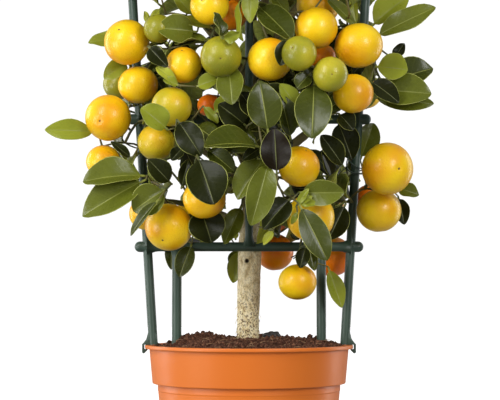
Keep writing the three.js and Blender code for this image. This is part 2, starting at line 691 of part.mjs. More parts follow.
// A leaf of 8 faces on six corners: the two ends of its root's edge, its two sides, the top of
// its midrib and its tip. An octahedron has its corners joined in the same way.
function leafSolid(leaf) {
  const geometry = new THREE.OctahedronGeometry(1);
  const side = new THREE.Vector3().crossVectors(leaf.normal, leaf.direction);
  const place = geometry.attributes.position;
  for (let i = 0; i < place.count; i += 1) {
    const [x, y, z] = [place.getX(i), place.getY(i), place.getZ(i)].map(Math.round);
    const atRoot = x < 0 || z < 0;
    const along = atRoot ? 0 : leaf.length * (x > 0 ? 1 : WIDEST);
    let rise = atRoot ? -0.5 * x * ROOT_EDGE + 0.5 * z * ROOT_EDGE : 0;
    if (z > 0) rise = LEAF_THICKNESS;
    if (y !== 0) rise = LEAF_FOLD;
    const point = leaf.root.clone().addScaledVector(leaf.direction, along);
    point.addScaledVector(side, (y * leaf.width) / 2);
    point.addScaledVector(leaf.normal, rise);
    place.setXYZ(i, point.x, point.y, point.z);
  }
  return solid(geometry);
}

// A fruit is turned so that its stalk comes in at the middle of one of its large faces.
function fruitSolid({ centre, radius, stalk }) {
  const ball = new THREE.OctahedronGeometry(radius * 1.03, 1);
  const face = new THREE.Vector3(1, 1, 1).normalize();
  ball.applyQuaternion(new THREE.Quaternion().setFromUnitVectors(face, stalk.clone().normalize()));
  ball.translate(centre.x, centre.y, centre.z);
  return solid(ball);
}

function massSolid(mass) {
  const taper = (along) => THREE.MathUtils.lerp(BOUGH_END_RADIUS - 0.2, STEM_TIP_RADIUS, along);
  const parts = [limb(mass.stem, taper, STEM_SIDES, STEM_STEPS)];
  for (const twig of mass.twigs) {
    const radiusAt = (along) => THREE.MathUtils.lerp(TWIG_RADIUS, TWIG_NODE_RADIUS, along);
    parts.push(limb(twig.curve, radiusAt, TWIG_SIDES, twig.steps));
  }
  for (const leaf of mass.leaves) parts.push(leafSolid(leaf));
  for (const fruit of mass.fruits) if (fruit.twig) parts.push(fruitSolid(fruit));
  return wasm.Manifold.union(parts);
}

// ------------------------------------------------------------------ assembly

const terracotta = finish("#d97832", 0.45);
const peat = finish("#4a2c20", 0.95);
const bark = finish("#b9a078", 0.85);
const greenPlastic = finish("#2d463c", 0.5);
const foliage = finish("#46602a", 0.5);

const tree = new THREE.Group();
tree.add(meshOf("pot", pot(), terracotta));
tree.add(meshOf("soil", soil(), peat));

layOutLimbs();

for (const bar of trellisBars()) {
  tree.add(meshOf(bar.name, trellisBar(bar), greenPlastic));
  addBallsAlong(bar.line, () => bar.radius, 3, "wood", null);
}
for (const sign of [-1, 1]) {
  for (let i = 0; i < RUNG_COUNT; i += 1) {
    const reach = sign * (legX(rungZ(i)) + KNOB_REACH - 2);
    addBall(new THREE.Vector3(reach, TRELLIS_Y, rungZ(i)), KNOB_RADIUS, "wood", null);
  }
}

const trunk = trunkCurve();
tree.add(meshOf("trunk", limb(trunk, trunkRadius, TRUNK_SIDES, TRUNK_STEPS), bark));
addBallsAlong(trunk, trunkRadius, 4, "wood", null);

// Each bough is cut clear of the trunk and of the boughs before it.
let before = limb(trunk, (along) => trunkRadius(along) + GAP, TRUNK_SIDES, TRUNK_STEPS);
for (const mass of MASSES) {
  tree.add(meshOf(`bough_${mass.name}`, boughOf(mass, 0).subtract(before), bark));
  before = before.add(boughOf(mass, GAP));
  const girthAt = (along) => THREE.MathUtils.lerp(mass.girth, BOUGH_END_RADIUS, along);
  addBallsAlong(part(mass.way, 0, mass.entry), girthAt, 3.5, "wood", null);
}

layOutFruit();
growTwigs();
growLeaves();
for (const mass of MASSES) tree.add(meshOf(`mass_${mass.name}`, massSolid(mass), foliage));

export default tree;
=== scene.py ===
import json
import math

import bmesh
import bpy
import numpy as np
from mathutils import Matrix, Vector, noise

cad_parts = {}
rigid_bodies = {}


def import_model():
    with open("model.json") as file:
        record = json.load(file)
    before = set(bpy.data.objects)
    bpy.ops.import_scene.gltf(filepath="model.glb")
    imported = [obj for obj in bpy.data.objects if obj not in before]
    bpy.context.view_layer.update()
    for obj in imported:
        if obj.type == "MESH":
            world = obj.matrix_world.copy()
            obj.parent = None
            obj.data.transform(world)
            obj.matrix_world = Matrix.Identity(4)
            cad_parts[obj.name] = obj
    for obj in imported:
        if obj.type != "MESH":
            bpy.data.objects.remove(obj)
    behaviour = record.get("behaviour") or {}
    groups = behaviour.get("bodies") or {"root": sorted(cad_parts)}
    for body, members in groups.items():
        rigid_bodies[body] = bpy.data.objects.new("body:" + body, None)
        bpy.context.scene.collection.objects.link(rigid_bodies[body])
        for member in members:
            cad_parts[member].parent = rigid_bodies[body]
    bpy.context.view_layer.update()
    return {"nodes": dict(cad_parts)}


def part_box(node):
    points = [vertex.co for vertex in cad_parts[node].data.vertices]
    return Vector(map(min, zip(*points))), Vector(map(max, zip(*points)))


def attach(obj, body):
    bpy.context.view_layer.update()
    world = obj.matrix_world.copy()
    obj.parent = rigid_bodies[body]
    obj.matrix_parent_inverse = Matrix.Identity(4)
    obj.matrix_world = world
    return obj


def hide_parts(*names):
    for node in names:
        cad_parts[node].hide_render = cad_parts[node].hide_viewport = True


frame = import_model()

# ---------------------------------------------------------------- pot
# A nursery pot, injection moulded in terracotta-coloured plastic: a thin tapering wall, a wider
# band round its top and a flat lip. The mould leaves it satin, with faint flow marks.
# Lengths are in millimetres, and MM turns them into Blender's metres.
MM = 0.001
BASE_RADIUS = 65.5
FOOT_WIDTH = 8
FOOT_LIFT = 1.6
STEP_HEIGHT = 99
STEP_RADIUS = 74.5
BEAD_DROP = 6
BEAD_DEPTH = 0.35
BAND_RADIUS = 78.8
BAND_TOP_RADIUS = 81.4
LIP_DEPTH = 2.9
WALL = 1.8
FLOOR = 2.5
POT_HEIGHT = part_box("pot")[1][2] / MM
LIP_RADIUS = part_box("pot")[1][0] / MM
POT_ROUNDING = 0.8
POT_SIDES = 160


def rounded(corners, radius, steps=4):
    """A profile whose inner corners are turned into short curves."""
    points = [Vector(corners[0])]
    for before, corner, after in zip(corners, corners[1:], corners[2:]):
        before, corner, after = Vector(before), Vector(corner), Vector(after)
        start = corner + (before - corner).normalized() * min(radius, (before - corner).length / 2)
        end = corner + (after - corner).normalized() * min(radius, (after - corner).length / 2)
        for i in range(steps + 1):
            t = i / steps
            points.append(start.lerp(corner, t).lerp(corner.lerp(end, t), t))
    return points + [Vector(corners[-1])]


def spin_profile(bm, profile, sides, place=None):
    """Adds the solid that a profile of (radius, height) in millimetres makes about the Z axis."""
    chain = [bm.verts.new((point[0] * MM, 0, point[1] * MM)) for point in profile]
    links = [bm.edges.new(pair) for pair in zip(chain, chain[1:])]
    bmesh.ops.spin(bm, geom=chain + links, cent=(0, 0, 0), axis=(0, 0, 1), dvec=(0, 0, 0),
                   angle=2 * math.pi, steps=sides, use_merge=True)
    turned = list(linked_to(chain[0]))
    bmesh.ops.remove_doubles(bm, verts=turned, dist=1e-7)
    turned = list(linked_to(next(vert for vert in turned if vert.is_valid)))
    bmesh.ops.recalc_face_normals(bm, faces=list({face for vert in turned for face in vert.link_faces}))
    if place is not None:
        bmesh.ops.transform(bm, matrix=place, verts=turned)


def linked_to(start):
    """Every vertex that edges join to a vertex."""
    found = {start}
    waiting = [start]
    while waiting:
        for edge in waiting.pop().link_edges:
            for vert in edge.verts:
                if vert not in found:
                    found.add(vert)
                    waiting.append(vert)
    return found


def put(name, data):
    """A new object of the scene."""
    thing = bpy.data.objects.new(name, data)
    bpy.context.scene.collection.objects.link(thing)
    return thing


def piece_from(name, source, finishes, smooth_below=40):
    """A finished piece of the plant from a bmesh or a mesh, with its materials."""
    if isinstance(source, bmesh.types.BMesh):
        mesh = bpy.data.meshes.new(name)
        for face in source.faces:
            face.smooth = True
        for edge in source.edges:
            edge.smooth = edge.calc_face_angle(0) < math.radians(smooth_below)
        source.to_mesh(mesh)
        source.free()
    else:
        mesh = source
    piece = put(name, mesh)
    for finish in finishes:
        mesh.materials.append(finish.material)
    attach(piece, "root")
    return piece


def tint(code):
    """A colour given as #rrggbb, in the linear values that shaders take."""
    parts = [int(code[i : i + 2], 16) / 255 for i in (1, 3, 5)]
    return (*[c / 12.92 if c <= 0.04045 else ((c + 0.055) / 1.055) ** 2.4 for c in parts], 1)


class Field:
    """A number, vector or colour that varies over a surface: the output of a shader node."""

    def __init__(self, finish, socket):
        self.finish = finish
        self.socket = socket

    def worked(self, operation, first, second):
        return self.finish.node("Math", {"operation": operation}, {0: first, 1: second})

    def __add__(self, other):
        return self.worked("ADD", self, other)

    def __sub__(self, other):
        return self.worked("SUBTRACT", self, other)

    def __rsub__(self, other):
        return self.worked("SUBTRACT", other, self)

    def __mul__(self, other):
        return self.worked("MULTIPLY", self, other)

    def __mod__(self, other):
        return self.worked("FLOORED_MODULO", self, other)

    def __abs__(self):
        return self.worked("ABSOLUTE", self, 0)

    __radd__ = __add__
    __rmul__ = __mul__


class Finish:
    """One material: its shader with what is uniform, and the nodes that vary the rest."""

    def __init__(self, name, **uniform):
        self.material = bpy.data.materials.new(name)
        self.material.use_nodes = True
        self.shader = self.material.node_tree.nodes["Principled BSDF"]
        for socket, value in uniform.items():
            self.shader.inputs[socket.replace("_", " ")].default_value = value

    def node(self, kind, settings=None, sockets=None, output=0):
        made = self.material.node_tree.nodes.new("ShaderNode" + kind)
        for setting, value in (settings or {}).items():
            if setting == "stops":
                self.set_stops(made.color_ramp, value)
            else:
                setattr(made, setting, value)
        for key, value in (sockets or {}).items():
            self.feed(made.inputs[key], value)
        return Field(self, made.outputs[output])

    def set_stops(self, ramp, stops):
        while len(ramp.elements) < len(stops):
            ramp.elements.new(1)
        for element, (position, colour) in zip(ramp.elements, stops):
            element.position = position
            element.color = colour

    def feed(self, socket, value):
        if isinstance(value, Field):
            self.material.node_tree.links.new(value.socket, socket)
        else:
            socket.default_value = value

    def vary(self, socket, value):
        self.feed(self.shader.inputs[socket], value)

    def place(self, stretch=(1, 1, 1)):
        spot = self.node("TexCoord", output=3)
        return self.node("Mapping", {"vector_type": "TEXTURE"}, {"Vector": spot, "Scale": stretch})

    def cloud(self, size, detail=2, stretch=(1, 1, 1), rough=0.5):
        """Soft random patches of about that size in millimetres, from 0 to 1."""
        sockets = {"Vector": self.place([size * MM * share for share in stretch])}
        return self.node("TexNoise", {}, {**sockets, "Scale": 1, "Detail": detail, "Roughness": rough})

    def ramp(self, value, *stops):
        return self.node("ValToRGB", {"stops": stops}, {"Fac": value})

    def spread(self, value, low, high):
        """A value stretched so that low becomes 0 and high becomes 1."""
        return self.node("MapRange", {"clamp": True}, {"Value": value, "From Min": low, "From Max": high})

    def blend(self, share, first, second):
        return self.node("Mix", {"data_type": "RGBA"}, {0: share, 6: first, 7: second}, output=2)

    def mottle(self, size, first, second):
        """Base colour that wanders between two tones, in patches of about that size."""
        self.vary("Base Color", self.blend(self.cloud(size), tint(first), tint(second)))
        return self

    def relief(self, height, depth):
        """Fine relief of that depth in millimetres, in the surface's normal."""
        bump = self.node("Bump", {}, {"Height": height, "Strength": 1, "Distance": depth * MM})
        self.vary("Normal", bump)


terracotta = Finish("terracotta_plastic", Specular_IOR_Level=0.42)
flow = terracotta.cloud(46, 2, (1, 1, 2.6))
terracotta.vary("Base Color", terracotta.blend(flow, tint("#cb6519"), tint("#d77322")))
terracotta.vary("Roughness", 0.36 + 0.1 * terracotta.cloud(9, 3))
terracotta.relief(terracotta.cloud(2.2, 3), 0.03)

lip = POT_HEIGHT - LIP_DEPTH
outside = rounded([
    (0, FOOT_LIFT), (BASE_RADIUS - FOOT_WIDTH - 1, FOOT_LIFT), (BASE_RADIUS - FOOT_WIDTH, 0),
    (BASE_RADIUS, 0), (STEP_RADIUS - BEAD_DEPTH, STEP_HEIGHT - BEAD_DROP),
    (STEP_RADIUS, STEP_HEIGHT - BEAD_DROP + 0.4), (STEP_RADIUS, STEP_HEIGHT),
    (BAND_RADIUS, STEP_HEIGHT), (BAND_TOP_RADIUS, lip), (LIP_RADIUS, lip), (LIP_RADIUS, POT_HEIGHT),
    (BAND_TOP_RADIUS - WALL, POT_HEIGHT), (BAND_RADIUS - WALL, STEP_HEIGHT + WALL),
    (STEP_RADIUS - WALL, STEP_HEIGHT - WALL), (BASE_RADIUS - WALL, FLOOR), (0, FLOOR),
], POT_ROUNDING)
shell = bmesh.new()
spin_profile(shell, outside, POT_SIDES)
pot = piece_from("nursery_pot", shell, [terracotta], 50)
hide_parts("pot")

# ---------------------------------------------------------------- peat
# Moist fibrous peat, heaped loosely towards the trunk and crumbly on top, with pale root fibres
# and one dark lump of charred bark lying on it.
SOIL_EDGE = 126.5
SOIL_SEAT = 134
SEAT_RADIUS = 13
TRUNK_FOOT = Vector((-1, 8.5, 134.3))
HEAP_CELLS = 190
HEAP_GAP = 0.9
HEAP_FOOT = 3
HEAP_TAPER = 0.965
CRUMB_GAP = 3
LUMP = Vector((19, -6, 137.4))
LUMP_SIZE = (7.5, 5, 3.6)
# The peat's lumps, as a height, a level of the noise and a size, and its mounds, as a middle, a
# height and the square of a spread.
LUMP_LAYERS = [(2.6, 3, 26), (1.7, 9, 9), (0.8, 5, 3.6)]
MOUNDS = [(-42, -4, 6, 420), (62, 0, 2.4, 160), (33, 4, 2.6, 900)]
# The relief grows from a share of itself at the seat's edge to the whole of it further out, both
# measured in radii of the seat, and loses a share again at the pot's wall.
SEAT_RELIEF = 0.25
SEAT_EDGE = 0.7
SEAT_BLEND = 1.5
WALL_LOSS = 0.8
PEAT_SETTLING = 0.6
CRUMBS = 3600
SMALLEST_CRUMB = 0.5
CRUMB_RANGE = 2.3
FIBRES = 260
FIBRE_REACH = 74
FIBRE_THICKNESS = (0.16, 0.34)


def spread_noise(x, y, z, size):
    """Smooth noise from -1 to 1 whose bumps are about that many millimetres across."""
    return noise.noise(Vector((x / size, y / size, z / size)))


def soil_height(x, y):
    """Height of the heaped peat at a place, in millimetres."""
    outward = min(1, math.hypot(x, y) / BAND_TOP_RADIUS)
    heap = SOIL_EDGE + (SOIL_SEAT - SOIL_EDGE) * (1 - outward ** 3)
    from_seat = math.hypot(x - TRUNK_FOOT.x, y - TRUNK_FOOT.y)
    free = min(1, max(0, (from_seat - SEAT_RADIUS * SEAT_EDGE) / (SEAT_BLEND * SEAT_RADIUS)))
    lumps = sum(height * spread_noise(x, y, level, size) for height, level, size in LUMP_LAYERS)
    mound = sum(height * math.exp(-((x - middle_x) ** 2 + (y - middle_y) ** 2) / spread)
                for middle_x, middle_y, height, spread in MOUNDS)
    share = SEAT_RELIEF + (1 - SEAT_RELIEF) * free
    return heap + share * (lumps + mound) * (1 - WALL_LOSS * outward ** 8) - PEAT_SETTLING


def disc_from_grid(bm, cells, radius):
    """A grid of faces pulled out to a round disc, in millimetres."""
    made = bmesh.ops.create_grid(bm, x_segments=cells, y_segments=cells, size=1)["verts"]
    for vert in made:
        x, y = vert.co.x, vert.co.y
        vert.co.x = x * math.sqrt(1 - y * y / 2) * radius
        vert.co.y = y * math.sqrt(1 - x * x / 2) * radius
    return made


class Template:
    """A small shape that is repeated many times: its corners, faces and materials."""

    def __init__(self, bm):
        bm.verts.index_update()
        self.corners = np.array([vert.co[:] for vert in bm.verts])
        self.loops = np.array([vert.index for face in bm.faces for vert in face.verts])
        self.sizes = np.array([len(face.verts) for face in bm.faces])
        self.slots = np.array([face.material_index for face in bm.faces])
        self.smooth = np.array([face.smooth for face in bm.faces])
        bm.free()


def joined(name, template, copies, uv=None):
    """One mesh of many placed copies of a template; each copy is its corners, in millimetres."""
    count, corners = len(copies), len(template.corners)
    mesh = bpy.data.meshes.new(name)
    mesh.vertices.add(count * corners)
    mesh.vertices.foreach_set("co", (np.concatenate(copies) * MM).ravel())
    loops = (template.loops[None, :] + np.arange(count)[:, None] * corners).ravel()
    sizes = np.tile(template.sizes, count)
    mesh.loops.add(len(loops))
    mesh.loops.foreach_set("vertex_index", loops)
    mesh.polygons.add(len(sizes))
    mesh.polygons.foreach_set("loop_start", np.cumsum(sizes) - sizes)
    mesh.polygons.foreach_set("loop_total", sizes)
    mesh.polygons.foreach_set("material_index", np.tile(template.slots, count))
    mesh.polygons.foreach_set("use_smooth", np.tile(template.smooth, count))
    if uv is not None:
        layer = mesh.uv_layers.new(name="blade")
        layer.data.foreach_set("uv", np.tile(uv[template.loops], (count, 1)).ravel())
    mesh.update(calc_edges=True)
    mesh.validate()
    return mesh


def piece_of_copies(name, template, copies, finishes, uv=None):
    """One finished piece of many placed copies of a template."""
    return piece_from(name, joined(name, template, copies, uv), finishes)


def crumb_template():
    bm = bmesh.new()
    bmesh.ops.create_icosphere(bm, subdivisions=1, radius=1)
    return Template(bm)


def strand_template(sides, steps):
    """A closed tube as turns about Z: x and y on the unit circle, z from 0 to 1 along it."""
    bm = bmesh.new()
    sheet = bmesh.ops.create_grid(bm, x_segments=sides, y_segments=steps, size=0.5)["verts"]
    for vert in sheet:
        turn = (vert.co.x + 0.5) * 2 * math.pi
        vert.co = (math.cos(turn), math.sin(turn), vert.co.y + 0.5)
    bmesh.ops.remove_doubles(bm, verts=sheet, dist=1e-5)
    bmesh.ops.holes_fill(bm, edges=[edge for edge in bm.edges if edge.is_boundary], sides=0)
    bmesh.ops.recalc_face_normals(bm, faces=bm.faces[:])
    for face in bm.faces:
        face.smooth = True
    return Template(bm)


def unit(vectors):
    return vectors / np.linalg.norm(vectors, axis=-1, keepdims=True)


def along_curve(corners, centre_at, radius_at):
    """A tube's corners carried along a centre line; line and radius are functions of 0 to 1."""
    t = corners[:, 2]
    step = 0.004
    tangent = unit(centre_at(np.minimum(t + step, 1)) - centre_at(np.maximum(t - step, 0)))
    across = np.zeros(3)
    across[np.argmin(np.abs(centre_at(np.array([1.0]))[0] - centre_at(np.array([0.0]))[0]))] = 1
    normal = unit(across - tangent * (tangent @ across)[:, None])
    binormal = np.cross(tangent, normal)
    ring = normal * corners[:, :1] + binormal * corners[:, 1:2]
    return centre_at(t) + ring * radius_at(t)[:, None]


def bend_through(start, bend, end):
    """A smooth curve from start to end that is drawn towards bend."""
    start, bend, end = (np.array(point, float) for point in (start, bend, end))

    def at(t):
        t = np.asarray(t, float)[:, None]
        return start * (1 - t) ** 2 + bend * 2 * t * (1 - t) + end * t ** 2

    return at


peat = Finish("peat", Roughness=0.95, Specular_IOR_Level=0.25)
damp = peat.cloud(7, 4, rough=0.7)
grain = peat.cloud(1.6, 3, rough=0.7)
dark_peat = peat.blend(damp, tint("#1c0e0a"), tint("#5c3828"))
peat.vary("Base Color", peat.blend(peat.spread(grain, 0.5, 0.75), dark_peat, tint("#9a6c50")))
peat.relief(peat.cloud(1.1, 4, rough=0.8), 0.7)
pale_fibre = Finish("root_fibre", Roughness=0.85).mottle(5, "#6d4a35", "#b08f68")
char = Finish("charred_bark", Roughness=0.6).mottle(2, "#141414", "#2d2a28")
char.relief(char.cloud(1.5, 3), 0.5)

heap = bmesh.new()
top = disc_from_grid(heap, HEAP_CELLS, BAND_TOP_RADIUS - WALL - HEAP_GAP)
for vert in top:
    vert.co = Vector((vert.co.x, vert.co.y, soil_height(vert.co.x, vert.co.y))) * MM
rim = bmesh.ops.extrude_edge_only(heap, edges=[edge for edge in heap.edges if edge.is_boundary])["geom"]
for vert in rim:
    if isinstance(vert, bmesh.types.BMVert):
        vert.co = Vector((vert.co.x * HEAP_TAPER, vert.co.y * HEAP_TAPER, (STEP_HEIGHT + HEAP_FOOT) * MM))
bmesh.ops.holes_fill(heap, edges=[edge for edge in heap.edges if edge.is_boundary], sides=0)
bmesh.ops.recalc_face_normals(heap, faces=heap.faces[:])
soil = piece_from("peat_heap", heap, [peat], 60)
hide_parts("soil")

chance = np.random.default_rng(31)
crumbs, crumb_shape = [], crumb_template()
for i in range(CRUMBS):
    turn = chance.uniform(0, 2 * math.pi)
    out = (BAND_TOP_RADIUS - WALL - CRUMB_GAP) * math.sqrt(chance.uniform(0, 1))
    x, y = out * math.cos(turn), out * math.sin(turn)
    size = SMALLEST_CRUMB + CRUMB_RANGE * chance.uniform() ** 4
    shape = crumb_shape.corners * chance.uniform(0.55, 1.25, crumb_shape.corners.shape) * size
    crumbs.append(shape + np.array([x, y, soil_height(x, y) + 0.3 * size]))
piece_of_copies("peat_crumbs", crumb_shape, crumbs, [peat])

fibres, fibre_shape = [], strand_template(3, 4)
for i in range(FIBRES):
    near_trunk = i % 3 == 0
    if near_trunk:
        out = SEAT_RADIUS * chance.uniform(0.7, 1.9)
    else:
        out = FIBRE_REACH * math.sqrt(chance.uniform(0.02, 1))
    turn = chance.uniform(0, 2 * math.pi)
    middle = (TRUNK_FOOT if near_trunk else Vector((0, 0, 0))).to_2d()
    x, y = middle.x + out * math.cos(turn), middle.y + out * math.sin(turn)
    reach = chance.uniform(-1, 1, 3) * (5, 5, 0.8)
    start = np.array([x, y, soil_height(x, y) + 0.5]) - reach
    bend = start + reach + (chance.uniform(-2, 2), chance.uniform(-2, 2), chance.uniform(0.5, 3.5))
    thick = chance.uniform(*FIBRE_THICKNESS)
    line = bend_through(start, bend, start + 2 * reach)
    fibres.append(along_curve(fibre_shape.corners, line, lambda t: thick * (1 - 0.6 * t)))
piece_of_copies("root_fibres", fibre_shape, fibres, [pale_fibre])

lump = bmesh.new()
bmesh.ops.create_icosphere(lump, subdivisions=4, radius=1)
for vert in lump.verts:
    bulge = 1 + 0.3 * noise.noise(vert.co * 1.7)
    stretched = Vector([part * size for part, size in zip(vert.co, LUMP_SIZE)])
    vert.co = (LUMP + stretched * bulge) * MM
piece_from("charred_lump", lump, [char], 70)

# ---------------------------------------------------------------- trellis
# A ladder trellis injection moulded in one piece of dark green plastic: splayed legs that clip on
# the pot's lip, rungs whose round ends stand out past the legs, and fillets where bars meet.
TRELLIS_Y = -6
TRELLIS_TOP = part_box("trellis_middle")[1][2] / MM
LEG_X = 78
LEG_FOOT = POT_HEIGHT + 0.4
LEG_SPLAY = 0.0648
LEG_RADIUS = 3.75
INNER_X = 59
INNER_RADIUS = 3.9
INNER_FOOT = 60
MIDDLE_RADIUS = 3.25
RUNG_RADIUS = 3.8
RUNG_HEIGHTS = (210, 315, 420, 525)
KNOB_RADIUS = 4.4
KNOB_REACH = 10.5
FILLET = 4
FILLET_LENGTH = 11.2
FILLET_CURVE = 2.6
LEG_SWELL = 1.6
SWELL_REACH = 12
CLIP_WIDTH = 6
CLIP_THICKNESS = 1.5
BAR_SIDES = 28
END_STEPS = 8


def leg_x(z):
    return LEG_X + LEG_SPLAY * (z - POT_HEIGHT)


def on_leg(side, z):
    """The point of an outer leg's centre line at a height."""
    return side * leg_x(z), TRELLIS_Y, z


def bar_profile(length, radius, flare_start, flare_end, round_start, round_end):
    """Half the outline of a bar: its ends are rounded, or flare where they run into another bar."""
    run = min(FILLET_LENGTH, length / 2)

    def end_outline(is_round, flare):
        for i in range(END_STEPS + 1):
            t = i / END_STEPS
            if is_round:
                yield radius * math.sin(t * math.pi / 2), radius * (1 - math.cos(t * math.pi / 2))
            else:
                yield radius + flare * (1 - t) ** FILLET_CURVE, t * run

    near = list(end_outline(round_start, flare_start))
    far = [(out, length - along) for out, along in end_outline(round_end, flare_end)]
    return [(0, 0), *near, *reversed(far), (0, length)]


def add_bar(bm, start, end, radius, flare_start=0, flare_end=0, round_start=False, round_end=False):
    start, end = Vector(start), Vector(end)
    profile = bar_profile((end - start).length, radius, flare_start, flare_end, round_start, round_end)
    turn = (end - start).to_track_quat("Z", "Y").to_matrix().to_4x4()
    spin_profile(bm, profile, BAR_SIDES, Matrix.Translation(start * MM) @ turn)


def add_clip(bm, side):
    """The strip at a leg's foot that runs out over the lip and hooks in under it."""
    out, under = LIP_RADIUS + 0.5 + CLIP_THICKNESS, POT_HEIGHT - LIP_DEPTH - 0.5
    outline = [
        (LEG_X - 3.4, LEG_FOOT - 0.1), (LIP_RADIUS + 0.5, LEG_FOOT - 0.1), (LIP_RADIUS + 0.5, under),
        (BAND_TOP_RADIUS + 1.2, under), (BAND_TOP_RADIUS + 1.8, under - 1.3), (out - 1.4, under - 3.6),
        (out, under - 2.6), (out, LEG_FOOT + 0.4), (out - 1.2, LEG_FOOT + 1.6),
        (LEG_X + 5.6, LEG_FOOT + 4.4), (LEG_X + 4.2, LEG_FOOT + 10), (LEG_X - 2.6, LEG_FOOT + 9),
    ]
    corners = [bm.verts.new((side * x * MM, (TRELLIS_Y - CLIP_WIDTH / 2) * MM, z * MM)) for x, z in outline]
    face = bm.faces.new(corners)
    grown = bmesh.ops.extrude_face_region(bm, geom=[face])["geom"]
    moved = [item for item in grown if isinstance(item, bmesh.types.BMVert)]
    bmesh.ops.translate(bm, verts=moved, vec=(0, CLIP_WIDTH * MM, 0))
    around = list({edge for vert in corners + moved for edge in vert.link_edges})
    bmesh.ops.recalc_face_normals(bm, faces=list({f for vert in corners + moved for f in vert.link_faces}))
    bmesh.ops.bevel(bm, geom=around, offset=0.35 * MM, offset_type="OFFSET", segments=2, profile=0.5,
                    affect="EDGES", material=-1, clamp_overlap=True)


green_plastic = Finish("green_plastic", Specular_IOR_Level=0.45).mottle(30, "#2b3d33", "#3f5345")
green_plastic.vary("Roughness", 0.34 + 0.16 * green_plastic.cloud(6, 3))
green_plastic.relief(green_plastic.cloud(1.6, 3), 0.05)

ladder = bmesh.new()
for side in (-1, 1):
    add_bar(ladder, on_leg(side, LEG_FOOT), on_leg(side, TRELLIS_TOP), LEG_RADIUS, round_end=True)
    add_clip(ladder, side)
    first = RUNG_HEIGHTS[0]
    add_bar(ladder, (side * INNER_X, TRELLIS_Y, INNER_FOOT), (side * INNER_X, TRELLIS_Y, first),
            INNER_RADIUS, flare_end=FILLET, round_start=True)
    for z in RUNG_HEIGHTS:
        crossing, knob_end = on_leg(side, z), (side * (leg_x(z) + KNOB_REACH), TRELLIS_Y, z)
        above, below = on_leg(side, z + SWELL_REACH), on_leg(side, z - SWELL_REACH)
        add_bar(ladder, (side * (leg_x(z) - 1), TRELLIS_Y, z), knob_end, KNOB_RADIUS,
                flare_start=1, round_end=True)
        add_bar(ladder, (0 if z == first else side, TRELLIS_Y, z), crossing, RUNG_RADIUS,
                flare_start=0 if z == first else FILLET * 0.8, flare_end=FILLET)
        add_bar(ladder, crossing, above, LEG_RADIUS - 0.05, flare_start=LEG_SWELL)
        add_bar(ladder, below, crossing, LEG_RADIUS - 0.05, flare_end=LEG_SWELL)
add_bar(ladder, (0, TRELLIS_Y, RUNG_HEIGHTS[0]), (0, TRELLIS_Y, TRELLIS_TOP), MIDDLE_RADIUS,
        flare_start=FILLET, round_end=True)
trellis = piece_from("trellis", ladder, [green_plastic], 35)
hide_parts(*[node for node in frame["nodes"] if node.startswith("trellis_")])

# ---------------------------------------------------------------- wire ties
# Thin plastic-coated wires that hold the tree to its trellis. Each is looped round a bar, and its
# cut ends are left standing out.
WIRE_RADIUS = 0.55
LEG_TIE = [
    ((78, -15, 292), (79, -17, 276), (92, -10, 274)), ((92, -10, 274), (95.5, -3, 273), (87, -0.5, 272)),
    ((81, -16, 283), (75, -19, 268), (92, -10, 270)), ((92, -10, 270), (95, -3, 269.5), (87, -0.5, 271)),
]
RUNG_TIE = [
    ((47, -11, 211), (42, -12, 204), (34, -13, 201)),
    ((47, -11, 211), (47.5, -11.5, 216), (46.5, -4, 214.5)),
    ((46, -10.8, 209), (43, -12, 205), (36, -11, 200)), ((46, -10.8, 209), (46, -10, 204), (46, -4, 205)),
]
wire_green = Finish("wire_green", Roughness=0.5).mottle(6, "#1d2b24", "#31453a")
wire_shape = strand_template(6, 12)
wires = [along_curve(wire_shape.corners, bend_through(*route), lambda t: WIRE_RADIUS + 0 * t)
         for route in LEG_TIE + RUNG_TIE]
piece_of_copies("wire_ties", wire_shape, wires, [wire_green])

# ---------------------------------------------------------------- trunk and boughs
# The woody frame of the tree: a pale scaly trunk with a knot and a fibrous foot, forking into
# boughs that are spread along the trellis and taper into the crown. One skin of bark covers it.
TRUNK_FORK = Vector((2, 9, 250))
TRUNK_LEAN = Vector((0, 8, 192.15))
TRUNK_RADIUS = 8.3
TRUNK_SWELL = 1.2
FORK_RADIUS = 7.4
FLARE = 1.2
FLARE_HEIGHT = 9
NARROWS_FROM = 0.72
# Heights in metres between which bark turns from pale to darker green, young wood that also paints in the
# crown's shade, and from clean to earthy.
YOUNG_AND_SHADED_WOOD = (0.212, 0.246)
EARTHY_FOOT = (0.186, 0.148)
KNOT = Vector((-1.7, -0.8, 198.6))
KNOT_REACH = 8
# The knot's hole and the brim round it, each as a height, a radius and a width.
KNOT_HOLE = (1.5, 0, 1.3)
KNOT_BRIM = (0.7, 2.9, 1.1)
BOUGH_END_RADIUS = 3
BOUGH_OVERLAP = 0.02
TRUNK_RELIEF = 0.42
BOUGH_RELIEF = 0.22
STEM_END = 0.9
LEAST_BOUGH = 0.45
ENTRY_ROOM = 4
ENTRY_STEP = 0.005
# The layers of the bark's relief, each as a share, a stretch along the limb and a size.
BARK_LAYERS = [(1, 0.35, 2.6), (0.6, 0.6, 1.1), (0.8, 1, 16)]
TRUNK_SIDES, TRUNK_STEPS = 84, 190
BOUGH_SIDES, BOUGH_STEPS, LEADER_STEPS = 20, 40, 90
STRIPS = 90
STRIP_RISE = 26
STRIP_THICKNESS = (0.15, 0.36)

